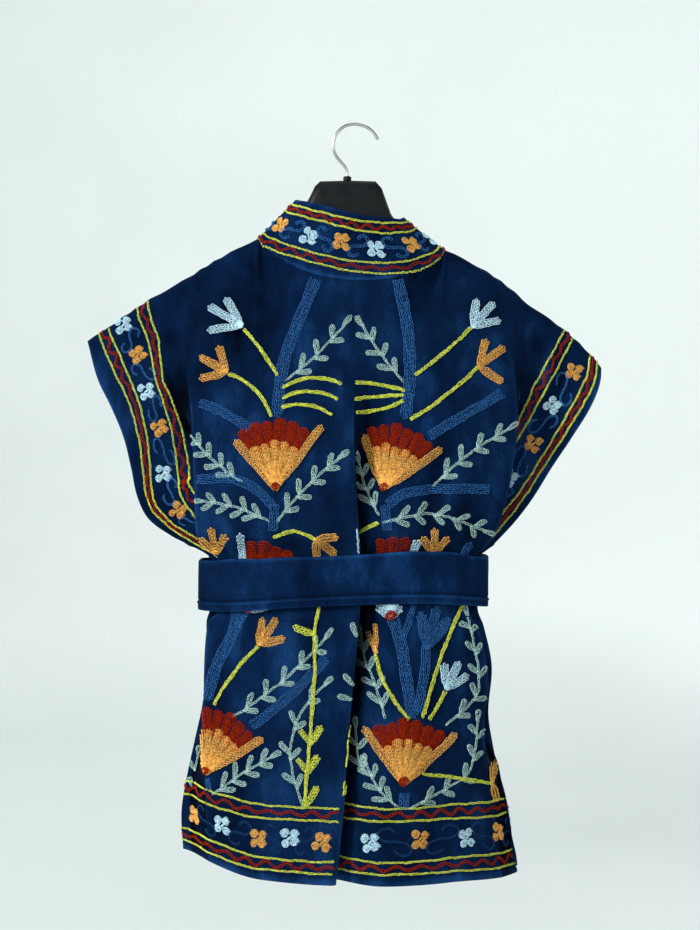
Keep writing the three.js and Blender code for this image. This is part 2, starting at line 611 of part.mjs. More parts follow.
function hangerBody() {
  const positions = [];
  const index = [];
  HANGER.forEach((row, i) => {
    for (let j = 0; j < HANGER_SIDES; j += 1) {
      const angle = 2 * Math.PI * j / HANGER_SIDES + Math.PI / 2;
      const c = Math.cos(angle);
      const s = Math.sin(angle);
      const power = 2 / HANGER_SQUARE;
      const y = row.half * Math.sign(c) * Math.abs(c) ** power;
      const z = row.top - row.height / 2 * (1 - Math.sign(s) * Math.abs(s) ** power);
      positions.push(row.x, y, z);
      if (i === 0) continue;
      const next = (j + 1) % HANGER_SIDES;
      const here = i * HANGER_SIDES;
      const before = here - HANGER_SIDES;
      index.push(before + j, before + next, here + next, before + j, here + next, here + j);
    }
  });
  const last = (HANGER.length - 1) * HANGER_SIDES;
  for (let j = 1; j + 1 < HANGER_SIDES; j += 1) {
    index.push(0, j + 1, j, last, last + j, last + j + 1);
  }
  const geometry = new THREE.BufferGeometry();
  geometry.setAttribute('position', new THREE.Float32BufferAttribute(positions, 3));
  geometry.setIndex(index);
  geometry.computeVertexNormals();
  return geometry;
}

const WIRE = 3.6;             // thickness of the hook's wire
const HOOK_RADIUS = 23.8;     // of the hook's middle line
const HOOK_X = 0.5;           // middle of the hook's round, which is level with its crest
const HOOK_STEM_X = -7.6;     // where the hook stands on the hanger
const FERRULE = { radius: 4.6, height: 4.6 };
function hookPath() {
  const centreZ = WIRE / 2 - HOOK_RADIUS;
  const points = [];
  for (let degrees = 14; degrees <= 215; degrees += 20.1) {
    const open = 3.2 * Math.max(0, (90 - degrees) / 76) ** 2;
    const radius = HOOK_RADIUS + open;
    const angle = radians(degrees);
    const x = HOOK_X + radius * Math.cos(angle);
    points.push(new THREE.Vector3(x, 0, centreZ + radius * Math.sin(angle)));
  }
  const foot = HUB_TOP + SEAM + FERRULE.height + SEAM;
  points.push(new THREE.Vector3(HOOK_STEM_X - 2.6, 0, -45.4));
  points.push(new THREE.Vector3(HOOK_STEM_X, 0, -51));
  points.push(new THREE.Vector3(HOOK_STEM_X, 0, foot));
  return new THREE.CatmullRomCurve3(points, false, 'centripetal');
}

// ---------------------------------------------------------------- materials and assembly
function material(color, roughness, metalness = 0) {
  return new THREE.MeshStandardMaterial({ color, roughness, metalness });
}
const velvet = material(0x12305e, 0.9);
const velvetBand = material(0x143566, 0.9);
const steel = material(0xa8aaac, 0.3, 1);
const plastic = material(0x1b1d1f, 0.45);

const jacket = new THREE.Group();
function add(name, geometry, finish) {
  const mesh = new THREE.Mesh(geometry, finish);
  mesh.name = name;
  jacket.add(mesh);
  return mesh;
}

const k = STATIONS;
const BACK_COLUMNS = [
  ...spread(-1, k.leftOuter, 5), ...spread(k.leftOuter, k.leftInner, 10),
  ...spread(k.leftInner, -NECK_SHARE, 2), ...spread(-NECK_SHARE, k.pleatStart, 4),
  ...spread(k.pleatStart, k.pleatEnd, 9),
  ...spread(k.pleatEnd, NECK_SHARE, 3), ...spread(NECK_SHARE, k.rightInner, 2),
  ...spread(k.rightInner, k.rightOuter, 10), ...spread(k.rightOuter, 1, 5), 1,
];
const waist = (z) => 2 + (UNDERARM - z) / (UNDERARM - HEM);
const BACK_ROWS = [
  0, 0.012, 0.05, 0.13, 0.3, 0.5, 0.75, ...spread(1, 2, 8), 2, waist(-483), waist(-512), waist(-541),
  ...spread(waist(-556), 3, 5), 3,
];
const FRONT_COLUMNS = [0, 0.04, 0.1, 0.18, 0.3, 0.44, 0.58, 0.7, 0.8, 0.9, 1];
const FRONT_ROWS = [
  0, 0.012, 0.05, 0.13, 0.3, 0.6, ...spread(1, 2, 6), 2, waist(-483), waist(-541),
  ...spread(waist(-556), 3, 4), 3,
];
// The band is cut at the same places as the panels it is sewn to
const frontPlaces = (side) => FRONT_ROWS.map((w) => collarStation(side, frontPoint(side, 1, w).z));
const neckPlaces = BACK_COLUMNS.filter((s) => Math.abs(s) < NECK_SHARE).map(neckStation);
const COLLAR_PLACES = [...frontPlaces(-1).reverse(), ...neckPlaces, ...frontPlaces(1)];
const END_COLUMNS = [-1, -0.4, 0.2, 1];
const END_ROWS = [0, 0.05, 0.12, 0.2, 0.3, 0.45, 0.6, 0.8, 1];

add('back', wall(backPoint, BACK_COLUMNS, BACK_ROWS, CLOTH, backEdge), velvet);
for (const [name, side] of [['front_left', -1], ['front_right', 1]]) {
  const face = (s, w) => frontPoint(side, s, w);
  const panel = wall(face, FRONT_COLUMNS, FRONT_ROWS, CLOTH, frontEdge(side), side < 0);
  add(name, panel, velvet);
}
const collarEdge = (s, w, n) => (w === 0 ? collarNormal(s) : n);
const band = wall(collarPoint, COLLAR_PLACES, [0, 0.5, 1], COLLAR_WALL, collarEdge, true);
add('collar_band', band, velvetBand);
add('belt', beltRing(52), velvetBand);
const knot = add('belt_knot', new THREE.SphereGeometry(1, 16, 12), velvetBand);
knot.scale.set(KNOT.halfWidth, KNOT.halfDepth, KNOT.halfHeight);
knot.position.set(KNOT.x, KNOT.y, KNOT.z);
for (const [name, side] of [['belt_end_left', -1], ['belt_end_right', 1]]) {
  const face = (s, w) => beltEnd(side, s, w);
  add(name, wall(face, END_COLUMNS, END_ROWS, BELT_WALL, null, true), velvetBand);
}
add('hanger_body', hangerBody(), plastic);
const ferruleShape = new THREE.CylinderGeometry(FERRULE.radius, FERRULE.radius, FERRULE.height, 16);
const ferrule = add('hanger_ferrule', ferruleShape, plastic);
ferrule.rotation.x = Math.PI / 2;
ferrule.position.set(HOOK_STEM_X, 0, HUB_TOP + SEAM + FERRULE.height / 2);
const wireSection = new THREE.Shape();
wireSection.absarc(0, 0, WIRE / 2, 0, 2 * Math.PI);
add('hanger_hook', new THREE.ExtrudeGeometry(wireSection, {
  steps: 36, curveSegments: 5, bevelEnabled: false, extrudePath: hookPath(),
}), steel);

export default jacket;
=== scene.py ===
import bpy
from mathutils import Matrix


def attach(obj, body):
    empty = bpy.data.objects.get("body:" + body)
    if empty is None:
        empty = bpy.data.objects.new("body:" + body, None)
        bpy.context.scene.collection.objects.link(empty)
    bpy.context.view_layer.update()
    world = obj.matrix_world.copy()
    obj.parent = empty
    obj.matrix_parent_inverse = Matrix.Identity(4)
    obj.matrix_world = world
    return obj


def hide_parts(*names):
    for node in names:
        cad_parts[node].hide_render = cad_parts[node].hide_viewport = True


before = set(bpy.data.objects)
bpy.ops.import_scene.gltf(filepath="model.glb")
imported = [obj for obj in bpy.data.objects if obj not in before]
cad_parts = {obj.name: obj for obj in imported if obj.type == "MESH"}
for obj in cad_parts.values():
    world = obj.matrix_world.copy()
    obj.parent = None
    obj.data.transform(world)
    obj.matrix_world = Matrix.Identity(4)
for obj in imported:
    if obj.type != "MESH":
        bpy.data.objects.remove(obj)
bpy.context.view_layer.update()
import copy
import math
from functools import partial
import bpy
import numpy as np
from mathutils import Vector
from mathutils.bvhtree import BVHTree

# ---- The garment's own sizes, in millimetres, as in the part's source. MM turns them into metres.
MM = 0.001
SEAM, CLOTH, BAND_WALL = 0.3, 2.4, 4.0      # gap at seams; walls of the panels, and of collar and belt
YOKE, UNDERARM, HEM = -285.0, -473.0, -818.0    # heights under the hook
# The hem's slope, its raised left corner and its lowered right one: height, start in x, and width
HEM_SHAPE = (-6.0, -190, 370), (14.0, -100, -90), (-6.0, 100, 80)
NECK_SHARE = 0.34                           # the neck seam's share of the back's top edge
NECK_FOLD, NECK_FOLD_RUN = 14, 0.08         # radius beside the neck seam, and columns it runs out over
FULLNESS = 2.3                              # how squarely the back's level sections fill out
HALVINGS = 30                               # steps in finding a height on the collar's seam edge
SIDE = {"left": -1, "right": 1}


def table(names, rows):
    """A short table with named columns, as arrays. The first column is its key."""
    return {name: np.array(column, float) for name, column in zip(names.split(), zip(*rows))}


SHOULDER = {
    "left": table("x z ridge", [
        (-298, -242, 3.2), (-269, -222, 6), (-230, -196, 11), (-191, -174, 14), (-152, -150, 14),
        (-108, -127, 14)]),
    "right": table("x z ridge", [
        (275.5, -272, 3.2), (262, -255, 4), (233, -228, 7), (195, -201, 13), (168, -178, 14),
        (141, -160, 14), (102.5, -140, 14)])}
SIDES = table("z left right y open", [
    (-242, -298, 277, 0, 0), (-285, -285.5, 275, 0, 6), (-314, -271, 264, 0, 10),
    (-348, -256.5, 243, 0, 12), (-384, -247.5, 219, 0, 12), (-415, -241, 200, 0, 11),
    (-441, -228, 181, 0, 8), (-460, -202, 164, -2, 4), (-473, -176, 151, -4, 0), (-483, -161, 138, -7, 0),
    (-512, -160, 137, -8, 0), (-541, -160, 138, -9, 0), (-556, -164, 144, -10, 0),
    (-600, -163, 153, -12, 0), (-650, -168, 149, -14, 0), (-690, -176, 155, -16, 0),
    (-740, -186, 164, -18, 0), (-776, -191, 171, -19, 0), (-818, -189, 180, -20, 0)])
STANCE = table("z back soft front flat", [
    (-180, 52, 1.8, 30, 2.4), (-230, 60, 1.8, 32, 2.4), (-285, 67, 1.7, 34, 2.6), (-350, 73, 1.5, 35, 2.8),
    (-430, 77, 1.3, 36, 3), (-456, 74, 1.1, 36, 3.2), (-473, 59.4, 0.9, 33, 3.4), (-483, 58, 0.85, 32, 3.4),
    (-541, 58, 0.85, 32, 3.4), (-556, 66, 1, 35, 3.6), (-620, 80, 1, 37, 3.6), (-700, 92, 1, 38, 3.6),
    (-818, 112, 1, 39, 3.6)])
FOLD_LEFT = table("z edge turn run radius", [
    (-285, -184, 4, 16, 6), (-320, -180, 60, 16, 6), (-360, -176, 120, 18, 6), (-420, -173, 158, 22, 5.5),
    (-456, -172, 162, 22, 5), (-473, -163, 154, 16, 4.6), (-483, -149, 150, 14, 4.4),
    (-541, -149, 150, 14, 4.4), (-556, -161, 150, 14, 4.6), (-650, -165, 124, 16, 5),
    (-700, -165, 94, 18, 6), (-745, -163, 46, 18, 6), (-818, -158, 24, 18, 6.5)])
FOLD_RIGHT = table("z edge turn run radius", [
    (-285, 178, 44, 16, 6), (-320, 179, 96, 16, 6), (-360, 176, 142, 18, 6), (-420, 166, 158, 20, 5.5),
    (-456, 154, 160, 18, 5), (-473, 141, 154, 15, 4.6), (-483, 126, 150, 14, 4.4),
    (-541, 126, 150, 14, 4.4), (-556, 136, 132, 14, 4.6), (-610, 147, 104, 14, 5), (-660, 142, 120, 16, 5),
    (-705, 147, 72, 16, 6), (-750, 154, 36, 16, 6), (-818, 162, 20, 16, 6.5)])
PLEAT = table("z edge turn run radius relax", [
    (-285, 1, 8, 14, 4, 50), (-330, 1, 46, 15, 4, 55), (-385, 2, 110, 18, 4, 60), (-430, 4, 152, 20, 4, 60),
    (-476, 7, 164, 20, 3.9, 56), (-512, 7, 168, 18, 3.6, 46), (-545, 6, 166, 20, 3.9, 50),
    (-600, 0.5, 160, 24, 4.4, 60), (-680, -7, 156, 28, 5, 70), (-745, -11, 154, 30, 5.4, 74),
    (-818, -19, 152, 32, 6, 80)])
PLEAT_SHADE = table("z width depth", [
    (-310, 4, 0), (-350, 5, 0.1), (-420, 6, 0.3), (-480, 9, 0.5), (-520, 17, 1), (-600, 16, 1),
    (-632, 14, 0.7), (-700, 11, 0.55), (-760, 8, 0.4), (-818, 5, 0.3)])
COLLAR = table("sx sy sz fx fy fz", [
    (-42, 37, -816, 30, 36, -816), (-40, 33, -660, 32, 33, -660), (-38, 31, -515, 34, 32, -515),
    (-37, 32, -400, 35, 33, -388), (-56, 32, -312, 13, 34, -288), (-88, 28, -222, -22, 30, -192),
    (-103, 22, -172, -48, 22, -130), (-107.5, 14.5, -143, -60, 12, -98), (-108, 0, -127, -64, -2, -84),
    (-100, -17, -138.5, -60, -15, -85.5), (-80, -34, -155, -48, -28, -90), (-45, -47, -172, -26, -39, -97),
    (2, -52, -180, 2, -42, -105), (47, -47, -176, 30, -38, -108), (79, -33, -163, 45, -27, -107),
    (95.5, -16, -150, 52, -14, -105.5), (102.5, 0, -140, 54, -2, -104), (101.5, 14.5, -156, 51, 12, -116),
    (97, 22, -182, 42, 23, -144), (80, 29, -232, 14, 32, -203), (46, 40, -322, -24, 43, -300),
    (24, 41, -404, -47, 42, -396), (20, 40, -515, -51, 41, -515), (20, 42, -660, -51, 42, -660),
    (22, 45, -824, -49, 44, -824)])
NECK = {"left": 8, "right": 16}     # the collar's rows over the two shoulders
FOOT = {"left": 0, "right": 24}     # and at the hem


# ---- Reading the tables
def mix(a, b, t):
    return a + (b - a) * t


def ease(t):
    c = np.clip(t, 0, 1)
    return c * c * (3 - 2 * c)


def hump(x, middle, width):
    """1 at the middle, falling smoothly to 0 about two widths away."""
    return np.exp(-((x - middle) / width) ** 2)


def hermite(keys, values, place, i):
    """Smooth value between rows i and i + 1, where keys are the rows' places."""
    def slope(j):
        low, high = np.maximum(j - 1, 0), np.minimum(j + 1, len(keys) - 1)
        return (values[high] - values[low]) / (keys[high] - keys[low])
    span = keys[i + 1] - keys[i]
    t = np.clip((place - keys[i]) / span, 0, 1)
    t2, t3 = t * t, t * t * t
    return ((2 * t3 - 3 * t2 + 1) * values[i] + (t3 - 2 * t2 + t) * span * slope(i)
            + (3 * t2 - 2 * t3) * values[i + 1] + (t3 - t2) * span * slope(i + 1))


def read(rows, column, value):
    """A table's column where its key has the given value."""
    keys = next(iter(rows.values()))
    value = np.asarray(value, float)
    way = np.sign(keys[-1] - keys[0])
    i = np.searchsorted(way * keys, way * value, "left") - 1
    return hermite(keys, rows[column], value, np.clip(i, 0, len(keys) - 2))


def station(values, place):
    """A smooth value at a place counted in rows."""
    place = np.asarray(place, float)
    row_below = np.clip(np.floor(place).astype(int), 0, len(values) - 2)
    return hermite(np.arange(len(values), dtype=float), values, place, row_below)


def edge_points(place, letter):
    """The collar's seam edge, s, or free edge, f."""
    return np.stack([station(COLLAR[letter + axis], place) for axis in "xyz"], -1)


# ---- The back's folds and level sections
LEFT_OUTER, LEFT_INNER, PLEAT_START, PLEAT_END, RIGHT_INNER, RIGHT_OUTER = STOPS = (
    -0.72, -0.52, -0.06, 0.14, 0.54, 0.74)
FOLDS = (
    (FOLD_LEFT, LEFT_INNER, LEFT_OUTER), (PLEAT, PLEAT_START, PLEAT_END),
    (FOLD_RIGHT, RIGHT_INNER, RIGHT_OUTER))
TURN_SHARE = 0.38       # share of a fold's columns that each of its two turns takes


def pleat_shade(x, z):
    """How far the pleat shuts a place beyond its edge off from the light, from 0 to 1."""
    beyond = (x - read(PLEAT, "edge", z)) / read(PLEAT_SHADE, "width", z)
    starts, fades = ease(beyond / 0.12 + 0.5), ease((beyond - 0.6) / 0.6)
    return read(PLEAT_SHADE, "depth", z) * starts * (1 - fades)


def fold_at(s, z, rows, first, last):
    """A fold over the columns first to last: its start, end and depth, and each place's x and way in."""
    edge, turn, run, radius = (read(rows, name, z) for name in ("edge", "turn", "run", "radius"))
    turn, way = np.radians(turn), 1 if last > first else -1
    t = (s - first) / (last - first)
    bent = np.clip(t / TURN_SHARE, 0, 1) * turn
    straight = np.clip((t - TURN_SHARE) / (1 - 2 * TURN_SHARE), 0, 1) * run
    left_over = turn - np.clip((t - 1 + TURN_SHARE) / TURN_SHARE, 0, 1) * turn
    sine, cosine = np.sin(turn), np.cos(turn)
    across = radius * np.sin(bent) + straight * cosine + radius * (sine - np.sin(left_over))
    inward = radius * (1 - np.cos(bent)) + straight * sine + radius * (np.cos(left_over) - cosine)
    start = edge - way * radius * np.sin(np.minimum(turn, math.pi / 2))
    return {
        "start": start, "end": start + way * (2 * radius * sine + run * cosine),
        "depth": 2 * radius * (1 - cosine) + run * sine, "x": start + way * across, "in": inward}


def back_level(s, z):
    """The back's outer face in level sections, s from -1 at the left end to 1 at the right."""
    left, right = read(SIDES, "left", z), read(SIDES, "right", z)
    fl, pleat, fr = (fold_at(s, z, *fold) for fold in FOLDS)
    far = mix(pleat["end"], fr["start"], (s - PLEAT_END) / (RIGHT_INNER - PLEAT_END))
    zones = [s < stop for stop in STOPS]
    x = np.select(zones, [
        mix(left, fl["end"], (s + 1) / (LEFT_OUTER + 1)), fl["x"],
        mix(fl["start"], pleat["start"], (s - LEFT_INNER) / (PLEAT_START - LEFT_INNER)),
        pleat["x"], far, fr["x"]],
        mix(fr["end"], right, (s - RIGHT_OUTER) / (1 - RIGHT_OUTER)))
    relaxed = pleat["depth"] * (1 - ease((far - pleat["end"]) / read(PLEAT, "relax", z)))
    inward = np.select(zones, [fl["depth"], fl["in"], 0 * s, pleat["in"], relaxed, fr["in"]], fr["depth"])
    middle = (left + right) / 2
    on_left = x < middle
    end_out = (CLOTH + SEAM / 2 + read(SIDES, "open", z) - read(SIDES, "y", z)
               + np.where(on_left, fl["depth"], fr["depth"]))
    u = np.clip(np.abs((x - middle) / (np.where(on_left, left, right) - middle)), 0, 1)
    out = end_out + (read(STANCE, "back", z) - end_out) * (1 - u ** FULLNESS) ** read(STANCE, "soft", z)
    return np.stack([x, inward - out, z + 0 * x], -1)


# ---- From the shoulders down to the yoke height
def neck_station(s):
    return mix(NECK["left"], NECK["right"], (s + NECK_SHARE) / (2 * NECK_SHARE))


def side_bow(name, v):
    """How far a sleeve opening bows out from the straight line between shoulder tip and yoke height."""
    tip = SHOULDER[name]
    return read(SIDES, name, mix(tip["z"][0], YOKE, v)) - mix(tip["x"][0], read(SIDES, name, YOKE), v)


def over_shoulder(v, x_top, z_top, out_top, radius, low_x, low_out):
    """How far out a cloth stands this share of the way down from its top edge, over a round fold."""
    drop = v * np.hypot(x_top - low_x, z_top - YOKE)
    rounded = np.where(drop < radius, np.sqrt(np.clip(2 * radius * drop - drop * drop, 0, None)), radius)
    return out_top + rounded + (low_out - out_top - radius) * ease(v) ** 0.8


def back_yoke(s, v):
    neck = edge_points(neck_station(np.clip(s, -NECK_SHARE, NECK_SHARE)), "s")
    x_top, z_top, out_top = neck[..., 0], neck[..., 2], np.maximum(SEAM / 2, -neck[..., 1])
    radius = NECK_FOLD * (1 - ease((NECK_SHARE - np.abs(s)) / NECK_FOLD_RUN))
    for name, side in SIDE.items():
        rows, on_shoulder = SHOULDER[name], side * s > NECK_SHARE
        x = mix(rows["x"][0], rows["x"][-1], (1 - side * s) / (1 - NECK_SHARE))
        x_top, z_top, out_top, radius = (np.where(on_shoulder, *pair) for pair in (
            (x, x_top), (read(rows, "z", x), z_top), (SEAM / 2, out_top), (read(rows, "ridge", x), radius)))
    low = back_level(s, YOKE + 0 * s)
    x = mix(x_top, low[..., 0], v) + mix(side_bow("left", v), side_bow("right", v), (s + 1) / 2) * np.abs(s)
    out = over_shoulder(v, x_top, z_top, out_top, radius, low[..., 0], -low[..., 1])
    return np.stack([x, -out, mix(z_top, YOKE, v)], -1)


def panel(level, yoke, s, w):
    """A panel's whole face: w is 0 at the top, 1 at the yoke height, 2 at the underarm and 3 at the hem."""
    s, w = np.broadcast_arrays(np.asarray(s, float), np.asarray(w, float))
    z = np.where(w <= 2, mix(YOKE, UNDERARM, w - 1), mix(UNDERARM, HEM, w - 2))
    lower = level(s, np.minimum(z, YOKE))
    x = lower[..., 0]
    hem = HEM
    for height, start, width in HEM_SHAPE:
        hem = hem + height * ease((x - start) / width)
    lower[..., 2] += (hem - HEM) * np.clip(w - 2, 0, 1)
    return np.where((w <= 1)[..., None], yoke(s, np.clip(w, 0, 1)), lower)


back_face = partial(panel, back_level, back_yoke)


# ---- The front panels and the collar band
def collar_station(name, z):
    """The collar's station where its seam edge on one front has the height z."""
    low, high = (np.full(np.shape(z), float(ends[name])) for ends in (FOOT, NECK))
    for _ in range(HALVINGS):
        half = (low + high) / 2
        above = station(COLLAR["sz"], half) > z
        high, low = np.where(above, half, high), np.where(above, low, half)
    return (low + high) / 2


def front_level(name, s, z):
    """A front's outer face in level sections, s from 0 at its side to 1 at the collar."""
    seam = edge_points(collar_station(name, z), "s")
    end_out = CLOTH + SEAM / 2 + read(SIDES, "open", z) + read(SIDES, "y", z)
    body = np.maximum(read(STANCE, "front", z), end_out)
    out = end_out + (body - end_out) * (1 - (1 - s) ** read(STANCE, "flat", z))
    x = mix(read(SIDES, name, z), seam[..., 0], s)
    towards_collar = ease((s - 0.55) / 0.45)
    return np.stack([x, mix(out, seam[..., 1], towards_collar), z + 0 * x], -1)


def front_yoke(name, s, v):
    rows = SHOULDER[name]
    x_top = mix(rows["x"][0], rows["x"][-1], s)
    z_top, radius = read(rows, "z", x_top), read(rows, "ridge", x_top)
    low = front_level(name, s, YOKE + 0 * s)
    top_seam = edge_points(float(NECK[name]), "s")
    seam, low_seam = (
        edge_points(collar_station(name, z), "s") for z in (mix(top_seam[2], YOKE, v), np.array(YOKE)))
    seam_bow = seam[..., 0] - mix(top_seam[0], low_seam[0], v)
    x = mix(x_top, low[..., 0], v) + mix(side_bow(name, v), seam_bow, s)
    out = over_shoulder(v, x_top, z_top, SEAM / 2, radius, low[..., 0], low[..., 1])
    towards_collar = ease((s - 0.7) / 0.3)
    y = mix(out, np.maximum(seam[..., 1], SEAM / 2), towards_collar)
    return np.stack([x, y, mix(z_top, YOKE, v)], -1)


def collar_face(s, w):
    """The band: s is the station along it, w from the seam edge, 0, to the free edge, 1."""
    seam, free = edge_points(s, "s"), edge_points(s, "f")
    start = 1.2 * SEAM / np.linalg.norm(free - seam, axis=-1)
    return mix(seam, free, mix(start, 1, w)[..., None])


# ---- Directions in which the cloths' edges are cut
def unit(v):
    return v / np.maximum(np.linalg.norm(v, axis=-1, keepdims=True), 1e-9)


def collar_normal(place):
    along = edge_points(place + 0.001, "s") - edge_points(place - 0.001, "s")
    return -unit(np.cross(edge_points(place, "f") - edge_points(place, "s"), along))


def shoulder_normal(x):
    left, right = (read(SHOULDER[name], "z", x + 1) - read(SHOULDER[name], "z", x - 1) for name in SIDE)
    return unit(np.stack([-np.where(x < 0, left, right), 0 * x, 2 + 0 * x], -1))


def end_normal(points):
    """At a sleeve opening a wall is cut square to the seam, and at a side seam it ends just short of it."""
    opening = points[:, 2:] > UNDERARM
    off = points[:, 1:2] - np.where(opening, 0, read(SIDES, "y", points[:, 2:]))
    across = np.clip((np.abs(off) - SEAM / 2) / CLOTH, 0, 1)
    upright = shoulder_normal(points[:1, 0]) * np.sqrt(1 - across ** 2)
    reach = np.where(opening, across, (np.abs(off) - SEAM / 5) / CLOTH)
    return np.where(opening, upright, 0) + np.array([0, 1, 0]) * np.sign(off) * reach


def steps(*stops):
    """Numbers through the stops, each given as (value, steps to the next one)."""
    parts = [np.linspace(a, b, n, endpoint=False) for (a, n), (b, _) in zip(stops, stops[1:])]
    return np.append(np.concatenate(parts), stops[-1][0])


def lattice(tall, wide, ring_rows=False, ring_columns=False, flip=False):
    """Quads over a grid of vertices, row by row, closed on itself along either way."""
    i, j = np.meshgrid(np.arange(tall - 1 + ring_rows), np.arange(wide - 1 + ring_columns), indexing="ij")
    below, beside = (i + 1) % tall * wide, (j + 1) % wide
    corners = [i * wide + j, below + j, below + beside, i * wide + beside]
    return np.stack([corners[k] for k in ((0, 3, 2, 1) if flip else (0, 1, 2, 3))], -1).reshape(-1, 4)


class Cloth:
    """A cloth's outer face on a grid of rows w and columns s, in millimetres, and the way it faces."""

    def __init__(self, face, columns, rows, turned):
        self.columns, self.rows, self.turned = columns, rows, turned
        self.points = face(columns[None, :], rows[:, None])
        self.face_out()

    def face_out(self):
        across, down = np.gradient(self.points, axis=1), np.gradient(self.points, axis=0)
        self.normals = unit(np.cross(down, across)) * (-1 if self.turned else 1)

    def swell(self, height):
        """Moves the face out by this height."""
        self.points = self.points + self.normals * height[..., None]
        self.face_out()

    def at(self, s, w):
        """Points and normals at these places."""
        col = np.interp(s, self.columns, np.arange(len(self.columns)))
        row = np.interp(w, self.rows, np.arange(len(self.rows)))
        c0 = np.minimum(col.astype(int), len(self.columns) - 2)
        r0 = np.minimum(row.astype(int), len(self.rows) - 2)
        fc, fr = (col - c0)[..., None], (row - r0)[..., None]

        def bilinear(values):
            upper = mix(values[r0, c0], values[r0, c0 + 1], fc)
            return mix(upper, mix(values[r0 + 1, c0], values[r0 + 1, c0 + 1], fc), fr)
        return bilinear(self.points), unit(bilinear(self.normals))

    def quads(self):
        quads = lattice(len(self.rows), len(self.columns))
        return quads[:, ::-1] if self.turned else quads

    def shell(self, inward):
        """Vertices and quads of the cloth as a closed wall that goes in by these steps."""
        grid = np.arange(len(self.rows) * len(self.columns)).reshape(len(self.rows), -1)
        loop = np.concatenate([grid[0, :-1], grid[:-1, -1], grid[-1, :0:-1], grid[:0:-1, 0]])
        after = np.roll(loop, -1)
        rim = np.stack([loop, after, after + grid.size, loop + grid.size], -1)
        outside = self.quads()
        inside, rim = outside[:, ::-1] + grid.size, rim[:, ::-1] if self.turned else rim
        verts = np.stack([self.points, self.points - inward]).reshape(-1, 3)
        return verts, np.concatenate([outside, inside, rim])


# ---- Objects
def added(name, data):
    obj = bpy.data.objects.new(name, data)
    bpy.context.scene.collection.objects.link(obj)
    return obj


def modelled(name, verts, faces, material):
    """A smooth-shaded object from vertices in metres."""
    mesh = bpy.data.meshes.new(name)
    mesh.from_pydata(np.asarray(verts).tolist(), [], faces if isinstance(faces, list) else faces.tolist())
    mesh.materials.append(material)
    mesh.polygons.foreach_set("use_smooth", [True] * len(mesh.polygons))
    return added(name, mesh)


def piece(name, solid, shape, look, sharp=None):
    """A piece riding with the part, in a solid's place. Its shape is vertices, in millimetres, and faces."""
    verts, faces = shape
    obj = modelled(name, verts * MM, faces, LOOKS[look])
    if sharp is not None:
        obj.data.set_sharp_from_angle(angle=math.radians(sharp))
    obj.data.update()
    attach(obj, "root")
    if solid:
        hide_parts(solid)
    # The record has no slot for a navy thread
    return obj


def mark(obj, name, values):
    """A number at each vertex for the material to read. A shell's inside repeats its outside."""
    data = obj.data.attributes.new(name, "FLOAT", "POINT").data
    data.foreach_set("value", np.resize(values, len(data)).astype(np.float32))


# ---- Materials
def nodes_of(name):
    material = bpy.data.materials.new(name)
    material.use_nodes = True
    return material, material.node_tree, material.node_tree.nodes["Principled BSDF"]


def feed(tree, made, inputs):
    """Sets a node's inputs, or links them where another node's output is given."""
    for key, value in inputs.items():
        if isinstance(value, bpy.types.NodeSocket):
            tree.links.new(value, made.inputs[key])
        else:
            made.inputs[key].default_value = value


def node(tree, kind, inputs, **settings):
    made = tree.nodes.new(kind)
    for key, value in settings.items():
        setattr(made, key, value)
    feed(tree, made, inputs)
    return made


def noise(tree, stretch, detail, rough):
    """Noise at the object's own place, stretched along each axis."""
    place = node(tree, "ShaderNodeTexCoord", {}).outputs["Object"]
    place = node(tree, "ShaderNodeMapping", {"Vector": place, "Scale": stretch}).outputs[0]
    inputs = {"Vector": place, "Scale": 1, "Detail": detail, "Roughness": rough}
    return node(tree, "ShaderNodeTexNoise", inputs).outputs["Fac"]


def attribute(tree, name):
    return node(tree, "ShaderNodeAttribute", {}, attribute_name=name).outputs["Fac"]


def sum_of(tree, value, share, other=0.0):
    """A share of one value, and all of another."""
    return node(tree, "ShaderNodeMath", {0: value, 1: share, 2: other}, operation="MULTIPLY_ADD").outputs[0]


def ramp(tree, value, *stops):
    made = node(tree, "ShaderNodeValToRGB", {"Fac": value})
    for i, (place, colour) in enumerate(stops):
        stop = made.color_ramp.elements[i] if i < 2 else made.color_ramp.elements.new(place)
        stop.position, stop.color = place, (*colour, 1)
    return made.outputs["Color"]


def bump(tree, height, depth, strength, **below):
    inputs = {"Height": height, "Distance": depth, "Strength": strength, **below}
    return node(tree, "ShaderNodeBump", inputs).outputs[0]


# The velvet's tone, from crushed patches and painted shade in folds to painted highlights on edges, and its
# colour
CRUSH_AND_PAINTED_LIGHT_TONES = (
    (0.47, (0.0010, 0.0052, 0.0200)), (0.60, (0.0018, 0.0098, 0.0370)), (0.74, (0.0050, 0.0260, 0.088)),
    (0.88, (0.0130, 0.0620, 0.180)))
PAINTED_LIGHT_AND_TUFT_SHARE = 0.16        # how much the painted light and shade at each vertex, and single tufts, change the tone
